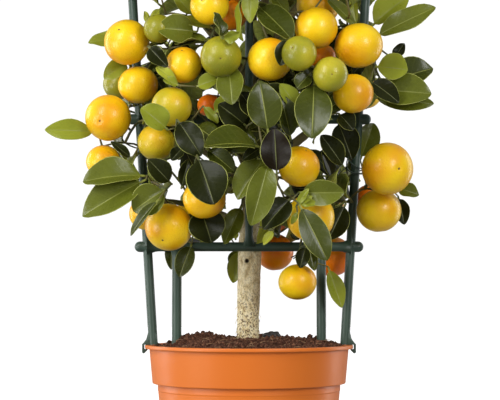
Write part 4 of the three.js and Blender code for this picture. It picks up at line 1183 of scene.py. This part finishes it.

# The leaves on the front of the crown: x and z where the root is seen from the front, its depth,
# the same three of the tip, the width, the turns about its length and of its halves towards each
# other in degrees, and the tone, which also paints in how lit or shaded the leaf is.
FRONT_LEAVES = [
    (-101, 382, -40, -133, 380, -46, 15, 10, 24, 3),
    (-82, 393, -50, -87, 406, -52, 5, 0, 24, 4),
    (-82, 394, -52, -75, 408, -54, 7, 0, 24, 4),
    (-68, 377, -60, -85, 397, -64, 20, 0, 24, 1),
    (-43, 389, -84, -76, 392, -92, 23, -15, 22, 2),
    (-29, 392, -78, -59, 397, -84, 13, 30, 24, 3),
    (-46, 402, -70, -64, 423, -74, 12, 0, 24, 3),
    (-32, 383, -80, -61, 379, -88, 18, 35, 24, 2),
    (-84, 377, -100, -68, 360, -104, 16, 20, 40, 0),
    (-59, 345, -100, -77, 359, -102, 9, 0, 30, 4),
    (-58, 344, -102, -71, 349, -104, 8, 0, 30, 3),
    (-100, 363, -40, -120, 350, -48, 15, 0, 24, 3),
    (-95, 326, -36, -106, 356, -42, 13, 0, 24, 4),
    (-22, 383, -128, -29, 405, -130, 12, 40, 24, 1),
    (-22, 383, -128, -8, 388, -130, 9, 50, 24, 3),
    (-7, 420, -100, -5, 382, -108, 12, 70, 24, 3),
    (1, 429, -104, 1, 397, -108, 13, 0, 24, 3),
    (6, 412, -100, 35, 383, -112, 24, -10, 20, 1),
    (34, 384, -126, 26, 361, -128, 15, 0, 28, 0),
    (51, 354, -118, 40, 342, -120, 13, 0, 24, 1),
    (16, 303, -124, 9, 347, -128, 26, 5, 20, 1),
    (54, 349, -118, 52, 301, -134, 28, 0, 20, 1),
    (35, 298, -112, 25, 337, -116, 19, 20, 26, 1),
    (30, 333, -106, 15, 344, -110, 12, 0, 26, 0),
    (40, 326, -110, 26, 345, -114, 13, 0, 24, 3),
    (10, 293, -122, -36, 293, -132, 40, 40, 18, 1),
    (11, 293, -112, -5, 282, -118, 10, 0, 26, 0),
    (23, 269, -126, 21, 307, -128, 24, 0, 24, 5),
    (14, 285, -112, -9, 250, -118, 24, 15, 22, 2),
    (17, 283, -124, 2, 229, -132, 22, -10, 22, 2),
    (35, 251, -112, 12, 225, -118, 20, 0, 26, 0),
    (41, 246, -118, 64, 200, -122, 21, 0, 22, 1),
    (41, 255, -112, 78, 255, -118, 20, 25, 24, 2),
    (39, 244, -116, 49, 258, -118, 5, 0, 24, 3),
    (41, 246, -116, 56, 246, -118, 6, 0, 24, 3),
    (40, 239, -116, 35, 229, -117, 4, 0, 24, 3),
    (42, 246, -116, 52, 252, -118, 5, 0, 24, 3),
    (79, 275, -70, 60, 302, -76, 17, 0, 26, 0),
    (74, 321, -92, 86, 307, -94, 15, 0, 26, 0),
    (92, 282, 0, 103, 312, -4, 22, 0, 24, 2),
    (101, 393, -62, 132, 418, -66, 25, -20, 22, 3),
    (103, 384, -74, 154, 409, -78, 19, 0, 22, 2),
    (120, 366, -50, 129, 379, -52, 9, 0, 24, 0),
    (104, 360, -74, 131, 357, -78, 23, 0, 24, 3),
    (111, 345, -56, 152, 358, -60, 28, 0, 24, 1),
    (101, 340, -66, 150, 337, -74, 28, 0, 22, 2),
    (100, 348, -78, 124, 330, -82, 17, 0, 26, 0),
    (101, 334, -60, 152, 329, -66, 15, 30, 24, 2),
    (121, 259, -50, 140, 253, -52, 12, 0, 24, 2),
    (123, 252, -20, 128, 229, -24, 13, 0, 26, 0),
    (-125, 305, -45, -168, 307, -52, 17, 0, 20, 3),
    (-84, 269, -86, -136, 264, -96, 29, 25, 30, 2),
    (-85, 266, -88, -136, 236, -96, 31, 10, 22, 2),
    (-68, 258, -90, -95, 240, -96, 25, 0, 22, 2),
    (-74, 250, -100, -97, 220, -104, 9, 30, 26, 1),
    (-67, 307, -116, -89, 325, -122, 22, 0, 36, 3),
    (-60, 316, -108, -40, 286, -112, 22, 0, 26, 0),
    (-38, 327, -96, -26, 313, -98, 7, 0, 24, 3),
    (-15, 334, -100, -28, 322, -103, 12, 0, 24, 3),
    (-17, 363, -104, -14, 329, -118, 21, 0, 22, 2),
    (-44, 343, -98, -26, 349, -100, 13, 0, 24, 3),
    (-54, 293, -88, -64, 282, -90, 10, 0, 26, 0),
    (-56, 258, -96, -50, 282, -97, 10, 0, 26, 0),
    (-43, 286, -114, -29, 246, -120, 32, 0, 22, 0),
    (-64, 262, -84, -83, 282, -88, 18, 0, 26, 0),
    (-97, 283, -70, -114, 297, -73, 7, 0, 26, 0),
    (-36, 292, -104, -12, 272, -108, 16, 0, 24, 1),
    (-47, 213, -10, -57, 186, -14, 16, 0, 26, 1),
    (-64, 216, 0, -64, 192, -4, 10, 0, 26, 1),
    (-40, 242, -70, -31, 214, -76, 30, 0, 24, 0),
    (-6, 245, -60, -20, 213, -66, 16, 0, 26, 2),
    (-11, 216, -60, -12, 227, -61, 5, 0, 24, 4),
    (-9, 208, 14, -13, 181, 12, 14, 0, 24, 3),
    (-8, 208, 16, -14, 194, 14, 12, 0, 24, 2),
    (20, 224, -90, 12, 212, -91, 6, 0, 24, 4),
    (80, 246, -60, 66, 217, -66, 20, 0, 26, 0),
    (47, 211, -50, 42, 193, -53, 12, 0, 26, 0),
    (49, 211, -48, 54, 191, -50, 9, 0, 26, 1),
    (65, 194, -20, 76, 161, -24, 14, 0, 24, 3),
    (63, 419, -88, 88, 395, -92, 9, 0, 24, 2),
    (85, 424, -60, 89, 396, -63, 6, 0, 24, 3),
    (18, 423, -90, 31, 404, -94, 12, 0, 24, 2),
    (73, 315, -10, 85, 283, -14, 24, 0, 26, 0),
    (7, 316, -108, -7, 338, -112, 16, 0, 26, 0),
    (-2, 310, -106, -25, 328, -110, 22, 0, 26, 0),
    (112, 436, -10, 156, 430, -14, 22, 10, 24, 2),
    (112, 440, -4, 147, 455, -8, 20, 0, 24, 1),
]

# Where nothing grows in front of the trellis: its left leg, middle bar or right leg, and from what
# height to what height.
BARE_BARS = [(-1, 204, 290), (0, 214, 240), (0, 345, 395), (1, 204, 305), (1, 390, 416)]
# The ways a twig may bend round what stands in its way, as shares of its length.
BOWS = [(0, 0, 0), (0, 0.2, 0.1), (0, 0.45, 0), (0, 0, 0.22), (0.2, 0, 0.1), (-0.2, 0, 0.1), (0, -0.2, 0.1),
        (0.3, 0, -0.1), (-0.3, 0, -0.1), (0.25, 0.3, 0), (-0.25, 0.3, 0), (0, 0.3, -0.1), (0, 0, 0.45)]


class Twig:
    """One twig: its centre line, the fruit it ends in, and how many things it carries."""

    def __init__(self, line, length, fruit=None):
        self.line, self.length, self.fruit = line, length, fruit
        self.load = 0 if fruit is None else 1

    def heading(self, t):
        return unit(self.line([min(1, t + 0.02)])[0] - self.line([max(0, t - 0.02)])[0])


class Leaf:
    """One leaf: where it springs from, the way it points and faces, and how it is bent."""

    def __init__(self, root, direction, facing, length, width, tone, stream):
        self.root, self.length, self.width, self.tone = np.array(root, float), length, width, tone
        self.direction = unit(np.array(direction, float))
        self.normal = unit(facing - self.direction * (facing @ self.direction))
        self.fold = math.radians(stream.between(*FOLDS))
        self.bend = stream.between(*BENDS)
        self.wave = stream.between(*WAVES)
        self.phase = stream.between(*PHASES)
        self.twist = stream.between(*TWISTS)
        self.taper = stream.between(*FOOT_TAPERS), stream.between(*POINT_TAPERS)

    def shaped(self, corners):
        """Places of a flat leaf's corners: across from -1 to 1, along from 0 to 1, and 1 below."""
        across, along, below = corners.T
        q = np.clip((along - STALK_SHARE) / (1 - STALK_SHARE), 0, 1)
        foot, point = self.taper
        widest = foot / (foot + point)
        blade = q ** foot * (1 - q) ** point / (widest ** foot * (1 - widest) ** point)
        half = STALK_HALF_WIDTH * (1 - STALK_TAPER * q) + self.width / 2 * blade
        side = np.cross(self.normal, self.direction)
        turn = self.bend * along
        forward = np.sin(turn) / self.bend
        down = (1 - np.cos(turn)) / self.bend
        middle = self.root + self.length * (forward[:, None] * self.direction - down[:, None] * self.normal)
        up = np.cos(turn)[:, None] * self.normal + np.sin(turn)[:, None] * self.direction
        lean = self.twist * along
        over = np.cos(lean)[:, None] * side + np.sin(lean)[:, None] * up
        up = np.cos(lean)[:, None] * up - np.sin(lean)[:, None] * side
        wave = self.wave * across ** 2 * np.sin(WAVE_RATE * along + self.phase) * np.minimum(1, blade)
        fold = self.fold * np.minimum(1, blade * 2)
        stalk = np.clip(1 - q * STALK_BLEND, 0, 1)
        thick = BLADE_THICKNESS + (STALK_THICKNESS - BLADE_THICKNESS) * stalk
        rise = np.abs(across) * half * np.sin(fold) + wave - below * thick
        return middle + over * (across * half * np.cos(fold))[:, None] + up * rise[:, None]


def leaf_template(stations, columns):
    """A flat leaf of two skins: the blade above, the midrib and stalk, the underside and the edge."""
    bm = bmesh.new()
    across, along = len(columns) - 1, len(stations) - 1
    bmesh.ops.create_grid(bm, x_segments=across, y_segments=along, size=0.5)
    for vert in bm.verts:
        column, row = round((vert.co.x + 0.5) * across), round((vert.co.y + 0.5) * along)
        vert.co = (columns[column], stations[row], 0)
    blade = bm.faces[:]
    bmesh.ops.recalc_face_normals(bm, faces=blade)
    if blade[0].normal.z < 0:
        bmesh.ops.reverse_faces(bm, faces=blade)
    for face in blade:
        middle = face.calc_center_median()
        face.material_index = EDGE if abs(middle.x) > EDGE_FROM else ABOVE
        if abs(middle.x) < RIB_WITHIN or middle.y < STALK_SHARE:
            face.material_index = RIB
    bmesh.ops.solidify(bm, geom=blade, thickness=1)
    for face in bm.faces:
        face.smooth = True
        face.normal_update()
        if abs(face.normal.z) < 0.5:
            face.material_index = RIB if face.calc_center_median().y < STALK_SHARE else EDGE
        elif face.normal.z < 0:
            face.material_index = RIB if face.calc_center_median().y < STALK_SHARE else BELOW
    top = max(vert.co.z for vert in bm.verts)
    for vert in bm.verts:
        vert.co.z = 0 if vert.co.z > top - 0.5 else 1
    return Template(bm)


def hidden_front(points):
    """Whether any of these points would hide a fruit or leaf of the front layer."""
    seen, depth = seen_at(points), points[:, 1]
    apart = np.linalg.norm(seen[:, None] - front_discs[None, :, :2], axis=2)
    return ((apart < front_discs[:, 2]) & (depth[:, None] < front_discs[:, 3] + FRONT_DEPTH)).any()


def room_for_twig(mass, points, fruit, must):
    """The room about a twig's points, which is under 0 where it can't go unless it must."""
    room = crowd.room(points, TWIG_RADIUS, TWIG_ROOMS, (mass,)).min()
    if fruit is None:
        room = min(room, room_in_cell(points, mass).min() + TWIG_STRAY[must])
    if len(points) > 2 and hidden_front(points[:-2] if must else points):
        room = min(room, 0) - SEEN_COST
    if in_opening(points, TWIG_RADIUS):
        room = min(room, 0) - OPENING_COST
    return room


def grow_twig(mass, tip, fruit=None, must=False):
    """A twig to a tip from the nearest place of the mass's wood that gives it a clear way."""
    tip = np.array(tip, float)
    most, least = TWIG_NEEDS[must]
    roots = sorted(mass.roots, key=lambda root: np.linalg.norm(root[0] - tip))
    best = None
    for root, parent in roots[:most]:
        length = np.linalg.norm(root - tip)
        if length < least:
            continue
        for bow in BOWS:
            line = bend_through(root, (root + tip) / 2 + np.array(bow) * length, tip)
            points = line(np.linspace(0, 1, max(3, math.ceil(length / TEST_SPACING)))[1:])
            if fruit is not None:
                points = points[np.linalg.norm(points - tip, axis=1) > FRUIT_END]
            if not len(points):
                continue
            room = room_for_twig(mass, points, fruit, must)
            if room >= 0 or (must and (best is None or room > best[0])):
                best = (room, line, length, parent)
            if room >= 0:
                break
        if best is not None and best[0] >= 0:
            break
    if best is None:
        return None
    room, line, length, parent = best
    twig = Twig(line, length, fruit)
    if parent is not None:
        parent.load += 1
    for t in np.linspace(ROOTS_FROM, 1, max(3, math.ceil(length / ROOT_SPACING))):
        mass.roots.append((line([t])[0], twig))
    crowd.add_along(line, lambda t: TWIG_RADIUS + TWIG_CLEAR, LIMB_SPACING, TWIG, mass)
    mass.twigs.append(twig)
    return twig


# Points of a leaf that are tested for room, a closer set that is tested against the openings, and
# what each of the first asks of wood, fruit, twigs and leaves: a leaf's foot may touch the last two.
LEAF_TESTS = np.array([(across, along, 0) for along in (0.2, 0.36, 0.52, 0.68, 0.84)
                       for across in (-0.85, 0, 0.85)] + [(0, 0.97, 0)], float)
LEAF_SPREAD = np.array([(across, along, 0) for along in np.linspace(0.06, 1, 10)
                        for across in (-1, -0.5, 0, 0.5, 1)])
LEAF_ROOMS = np.array([(1.2, 1.2, 0.4 if along > 0.4 else MAY_TOUCH, 1.6 if along > 0.25 else MAY_TOUCH)
                       for across, along, below in LEAF_TESTS])


def add_leaf(mass, leaf):
    """Keeps a leaf if it is in the crown and its mass's space and clear of what stands there."""
    points = leaf.shaped(LEAF_TESTS)
    if crown_share(points).max() > 1 or points[:, 2].min() < CROWN_FOOT:
        return False
    if room_in_cell(points, mass).min() < -LEAF_STRAY:
        return False
    if outside_front(points) or hidden_front(points):
        return False
    if in_opening(leaf.shaped(LEAF_SPREAD), LEAF_OPENING):
        return False
    if crowd.room(points, LEAF_ROOM, LEAF_ROOMS).min() < 0:
        return False
    crowd.add(points, LEAF_ROOM, LEAF, mass)
    mass.leaves.append(leaf)
    return True


front_discs = []
for fruit in hanging:
    if fruit.centre[1] < 0:
        x, z = seen_at(fruit.centre)[0]
        depth = fruit.centre[1]
        front_discs.append((x, z, fruit.radius * EYE[1] / (EYE[1] - depth) + FRUIT_MARGIN, depth))
for mass in masses:
    mass.roots = [(mass.stem([i / STEM_ROOTS])[0], None) for i in range(1, STEM_ROOTS + 1)]
    crowd.add_along(mass.stem, lambda t: BOUGH_END_RADIUS, LIMB_SPACING, TWIG, mass)

front = []
for number, row in enumerate(FRONT_LEAVES):
    x, z, y, tip_x, tip_z, tip_y, width, roll, fold, tone = row
    root, tip = on_sight_line(x, z, y), on_sight_line(tip_x, tip_z, tip_y)
    stream = Stream("front leaves", number)
    along = unit(tip - root)
    facing = np.array([0, -1, 0.25])
    facing = unit(facing - along * (facing @ along))
    turn = math.radians(roll)
    facing = facing * math.cos(turn) + np.cross(along, facing) * math.sin(turn)
    length = np.linalg.norm(tip - root) * BEND_LOSS
    leaf = Leaf(root, along, facing, length, width / FOLD_LOSS, tone, stream)
    leaf.fold, leaf.bend = math.radians(fold), stream.between(*FRONT_BENDS)
    leaf.direction = unit(leaf.direction + leaf.normal * leaf.bend * 0.5)
    leaf.normal = unit(leaf.normal - leaf.direction * (leaf.normal @ leaf.direction))
    front.append(leaf)
    points = leaf.shaped(LEAF_TESTS)
    for (x, z), depth in zip(seen_at(points), points[:, 1]):
        front_discs.append((x, z, min(LEAF_DISC, width * LEAF_DISC_SHARE), depth))
for side, low, high in BARE_BARS:
    for z in range(low, high, 4):
        x, z = seen_at(np.array(on_leg(side, z)))[0]
        front_discs.append((x, z, LEG_RADIUS, TRELLIS_Y - LEG_RADIUS))
for route in LEG_TIE + RUNG_TIE:
    for x, z in seen_at(bend_through(*route)(np.linspace(0, 1, 5))):
        front_discs.append((x, z, WIRE_DISC, TRELLIS_Y - WIRE_DEPTH))
front_discs = np.array(front_discs)

for mass in masses:
    for fruit in sorted(mass.fruits, key=lambda fruit: np.linalg.norm(fruit.centre - mass.middle)):
        fruit.twig = grow_twig(mass, fruit.centre - fruit.eye * fruit.radius * STALK_SEAT, fruit, must=True)
for leaf in front:
    mass = nearest_mass(leaf.root)
    nearest = min(np.linalg.norm(root - leaf.root) for root, parent in mass.roots)
    if nearest > 2:
        grow_twig(mass, leaf.root, must=True).load += 1
    crowd.add(leaf.shaped(LEAF_TESTS), LEAF_ROOM, LEAF, mass)
    mass.leaves.append(leaf)

for index, mass in enumerate(masses):
    stream = Stream("twigs", index)
    for i in range(TWIGS_PER_MASS):
        for tries in range(TWIG_TRIES):
            tip = place_in_mass(mass, stream, TWIG_SPREAD, *(INNER_TWIGS if i % 3 == 2 else OUTER_TWIGS))
            if tip is None or outside_front(tip[None]):
                continue
            if min(np.linalg.norm(twig.line([1])[0] - tip) for twig in mass.twigs) < TIP_SPACING:
                continue
            if grow_twig(mass, tip):
                break


def grow_leaves(mass, twig, stream, count, first):
    """Leaves stand spirally round a twig, nod a little and turn their faces out and up."""
    turn_start = stream.between(0, 2 * math.pi)
    tone = TWIG_TONES[int(stream.draw() * TONE_REACH)]
    for i in range(count):
        along = 1 if i == 0 and twig.fruit is None else first * (1 - LEAF_RUN * i / count)
        heading, spring = twig.heading(along), twig.line([along])[0]
        outward = unit(spring - HEART)
        facing = unit(outward + (0, 0, UPTURN))
        sideways = unit(np.cross(heading, (0, 0, 1) if abs(heading[2]) < 0.9 else (1, 0, 0)))
        around = np.cross(heading, sideways)
        length = LEAF_LENGTH * stream.between(*LEAF_SIZES)
        for tries in range(LEAF_TRIES):
            turn = turn_start + i * GOLDEN_ANGLE + tries * TRY_TURN
            direction = heading * (ALONG_TIP if i == 0 else ALONG_TWIG)
            direction = direction + sideways * math.cos(turn) + around * math.sin(turn)
            direction = direction + outward * OUTWARD + (0, 0, -DOWNWARD)
            size = length * (1 - TRY_SHRINK * tries / LEAF_TRIES)
            shade = tone if stream.draw() < TONE_KEPT else int(stream.draw() * YOUNG)
            # A leaf deep inside the crown takes one of the darkest tones: painted shade.
            if crown_share(spring + direction * size / 2)[0] < INNER_SHARE:
                shade = DEEPLY_SHADED if stream.draw() < TONE_KEPT else SHADED
            leaf = Leaf(spring, direction, facing, size, size * LEAF_WIDTH, shade, stream)
            if add_leaf(mass, leaf):
                twig.load += 1
                break


for index, mass in enumerate(masses):
    stream = Stream("leaves", index)
    for twig in mass.twigs:
        count = max(FEWEST_LEAVES, min(LEAVES_PER_TWIG, int(twig.length / LEAF_SPACING)))
        grow_leaves(mass, twig, stream, count, FIRST_BY_FRUIT if twig.fruit else FIRST_LEAF)

# Each tone's material name, its two colours and its gloss; the darker tones paint shade and the pale and lit
# tone paints light.
LEAF_COLOURS = {
    DEEPLY_SHADED: ("deeply_shaded_leaf", "#181b0a", "#292d0f", 0.3), SHADED: ("shaded_leaf", "#31370e", "#444b15", 0.28),
    MIDDLING: ("leaf", "#4c5217", "#666d20", 0.28), PALE_AND_LIT: ("pale_and_lit_leaf", "#70771f", "#8c932b", 0.3),
    YOUNG: ("young_leaf", "#91952a", "#abaf38", 0.36), SHADED_BROWN: ("shaded_brown_leaf", "#130d05", "#1d1508", 0.36),
}


# The side veins: how many there are, how far they slant forward, and how far from the middle
# between two of them each begins and is whole.
VEINS = 9
VEIN_SLANT = 3.4
VEIN_EDGES = (0.36, 0.5)


def vein_lines(finish):
    """Side veins that slant forward from the midrib, from 0 between them to 1 on them."""
    place = finish.node("UVMap", {"uv_map": "blade"})
    across = finish.node("SeparateXYZ", {}, {0: place}, output=0)
    along = finish.node("SeparateXYZ", {}, {0: place}, output=1)
    away = abs(across - 0.5)
    step = (along * VEINS - away * VEIN_SLANT) % 1
    return finish.spread(abs(step - 0.5), *VEIN_EDGES)


edge = Finish("leaf_edge", Roughness=0.5).mottle(8, "#7a7f2e", "#a3a64c")
# Deeply shaded and shaded brown leaves get a darker midrib: painted shade.
deeply_shaded_rib = Finish("deeply_shaded_leaf_rib", Roughness=0.5).mottle(8, "#474c1c", "#5f6428")
rib = Finish("leaf_rib", Roughness=0.45).mottle(8, "#696e28", "#888c3c")
underside = Finish("leaf_underside", Roughness=0.62, Specular_IOR_Level=0.3)
under = underside.blend(underside.cloud(14), tint("#75802f"), tint("#8f9845"))
underside.vary("Base Color", underside.blend(0.4 * vein_lines(underside), under, tint("#a8ac62")))
underside.relief(vein_lines(underside), 0.25)

front_shape = leaf_template([0, 0.05, 0.11, 0.16, 0.23, 0.31, 0.4, 0.5, 0.6, 0.7, 0.79, 0.87, 0.94, 0.98, 1],
                            [-1, -0.965, -0.76, -0.5, -0.25, -0.03, 0.03, 0.25, 0.5, 0.76, 0.965, 1])
leaf_shape = leaf_template([0, 0.11, 0.2, 0.36, 0.54, 0.72, 0.89, 1], [-1, -0.52, -0.035, 0.035, 0.52, 1])
leaves = [leaf for mass in masses for leaf in mass.leaves]
for tone, (name, dark, light, gloss) in LEAF_COLOURS.items():
    blade = Finish(name, Specular_IOR_Level=0.11 if tone in (DEEPLY_SHADED, SHADED_BROWN) else 0.24)
    veins = vein_lines(blade)
    surface = blade.blend(blade.cloud(16, 3), tint(dark), tint(light))
    vein_share = 0.015 if tone in (DEEPLY_SHADED, SHADED_BROWN) else 0.05
    blade.vary("Base Color", blade.blend(vein_share * veins, surface, tint("#888c3c")))
    blade.vary("Roughness", gloss - 0.08 + 0.14 * blade.cloud(7, 2))
    blade.relief(blade.cloud(5, 2) - 0.2 * veins, 0.13)
    for kind, shape, group in (("front", front_shape, front), ("crown", leaf_shape, leaves)):
        some = [leaf for leaf in group if leaf.tone == tone and (kind == "front" or leaf not in front)]
        if not some:
            continue
        uv = np.stack([(shape.corners[:, 0] + 1) / 2, shape.corners[:, 1]], axis=1)
        copies = [leaf.shaped(shape.corners) for leaf in some]
        finishes = [blade, deeply_shaded_rib if tone in (DEEPLY_SHADED, SHADED_BROWN) else rib, underside, edge]
        piece_of_copies(f"{name}_{kind}", shape, copies, finishes, uv)

twig_bark = Finish("twig_bark", Roughness=0.6)
age = twig_bark.cloud(12)
twig_bark.vary("Base Color", twig_bark.ramp(age, (0.35, tint("#3f4a20")), (0.6, tint("#6a6234"))))
twig_bark.relief(twig_bark.cloud(1.2, 3), 0.2)
twig_shape, sticks = strand_template(6, 6), []
for mass in masses:
    stem = along_curve(twig_shape.corners, mass.stem, lambda t: BOUGH_END_RADIUS * (1 - STEM_TAPER * t))
    sticks.append(stem)
    for twig in [twig for twig in mass.twigs if twig.load]:
        thick = TWIG_RADIUS * (LEAF_TWIG if twig.fruit is None else FRUIT_TWIG)
        sticks.append(along_curve(twig_shape.corners, twig.line, lambda t: thick * (1 - TWIG_TAPER * t)))
piece_of_copies("twigs", twig_shape, sticks, [twig_bark])

# ---------------------------------------------------------------- calyxes
# The small green five-lobed cup that stays where each fruit joins its stalk.
CALYX_SEAT = 0.9
CALYX_RADIUS = 3.1
LOBES = 5
LOBE_DEPTH = 0.22
CUP_DEPTH = 0.25
calyx = Finish("calyx", Roughness=0.6).mottle(2, "#5d6b2c", "#8b8f4a")
star = bmesh.new()
bmesh.ops.create_circle(star, cap_ends=True, cap_tris=True, segments=20, radius=1)
for vert in star.verts:
    out = vert.co.length
    lobe = 1 - LOBE_DEPTH + LOBE_DEPTH * math.cos(LOBES * math.atan2(vert.co.y, vert.co.x))
    vert.co = Vector((vert.co.x * lobe, vert.co.y * lobe, CUP_DEPTH * (1 - out)))
bmesh.ops.recalc_face_normals(star, faces=star.faces[:])
bmesh.ops.solidify(star, geom=star.faces[:], thickness=0.16)
calyx_shape = Template(star)
cups = []
for i, fruit in enumerate(hanging):
    seat = fruit.centre - fruit.eye * fruit.radius * CALYX_SEAT
    cups.append(seat + calyx_shape.corners @ turned_to(-fruit.eye, i) * CALYX_RADIUS)
piece_of_copies("calyxes", calyx_shape, cups, [calyx])

# ---------------------------------------------------------------- studio
# A white sweep under even light that is dimmer at the front right, with soft lamps at the left, high
# and low, another at the right, and one on each side further back.
LENS = 100.59
TILT = 3.82
SWEEP_SIZE = 6
SWEEP_GLOW = 0.8
# How strong the surround is as the camera sees it, as it lights the scene, and at its dim side. It
# dims between these two cosines of the turn away from that side.
SEEN_STRENGTH, STRENGTH, DIM_STRENGTH = 1.05, 0.38, 0.18
DIM_SIDE = math.radians(58)
DIM_FROM, DIM_TO = 0.7, 0.95
AIM = Vector((0, 0, 0.3))
# Each lamp's name, its turn to the right and its rise in degrees, distance, power, width and height.
LAMPS = [
    ("key_lamp", -36, 24, 1.3, 11, 0.4, 0.8), ("fill_lamp", 30, 14, 1.4, 9.5, 0.35, 0.6),
    ("low_lamp", -58, -12, 1.1, 5.5, 0.5, 0.45), ("left_rim_lamp", -112, 4, 1.3, 9, 0.4, 1.2),
    ("right_rim_lamp", 116, 4, 1.3, 6, 0.4, 1.2),
]

camera = put("camera", bpy.data.cameras.new("camera"))
camera.data.lens = LENS
camera.location = EYE * MM
camera.rotation_euler = (math.radians(90 + TILT), 0, 0)
bpy.context.scene.camera = camera
bpy.context.scene.view_settings.view_transform = "Standard"

floor_finish = Finish("sweep", Roughness=0.9, Emission_Color=(1, 1, 1, 1), Emission_Strength=SWEEP_GLOW)
floor_finish.mottle(300, "#f4f4f4", "#ffffff")
sweep = bmesh.new()
bmesh.ops.create_grid(sweep, x_segments=2, y_segments=2, size=SWEEP_SIZE)
floor_mesh = bpy.data.meshes.new("floor")
sweep.to_mesh(floor_mesh)
sweep.free()
floor_mesh.materials.append(floor_finish.material)
floor = put("floor", floor_mesh)
floor.visible_diffuse = floor.visible_glossy = False

surround = bpy.data.worlds.new("surround")
surround.use_nodes = True
bpy.context.scene.world = surround
tree = surround.node_tree
bright = tree.nodes["Background"]
rays = tree.nodes.new("ShaderNodeLightPath")
strength = tree.nodes.new("ShaderNodeMapRange")
tree.links.new(rays.outputs["Is Camera Ray"], strength.inputs["Value"])
where = tree.nodes.new("ShaderNodeTexCoord")
facing = tree.nodes.new("ShaderNodeVectorMath")
facing.operation = "DOT_PRODUCT"
tree.links.new(where.outputs["Generated"], facing.inputs[0])
facing.inputs[1].default_value = (math.sin(DIM_SIDE), -math.cos(DIM_SIDE), 0)
dimming = tree.nodes.new("ShaderNodeMapRange")
tree.links.new(facing.outputs["Value"], dimming.inputs["Value"])
for socket, value in (("From Min", DIM_FROM), ("From Max", DIM_TO),
                      ("To Min", STRENGTH), ("To Max", DIM_STRENGTH)):
    dimming.inputs[socket].default_value = value
tree.links.new(dimming.outputs[0], strength.inputs["To Min"])
strength.inputs["To Max"].default_value = SEEN_STRENGTH
tree.links.new(strength.outputs[0], bright.inputs["Strength"])
bright.inputs["Color"].default_value = (1, 1, 1, 1)

for name, turn, rise, reach, power, width, height in LAMPS:
    lamp = put(name, bpy.data.lights.new(name, "AREA"))
    lamp.data.energy, lamp.data.shape = power, "RECTANGLE"
    lamp.data.size, lamp.data.size_y = width, height
    turn, rise = math.radians(turn), math.radians(rise)
    away = Vector((math.sin(turn) * math.cos(rise), -math.cos(turn) * math.cos(rise), math.sin(rise)))
    lamp.location = AIM + away * reach
    lamp.rotation_euler = away.to_track_quat("Z", "Y").to_euler()
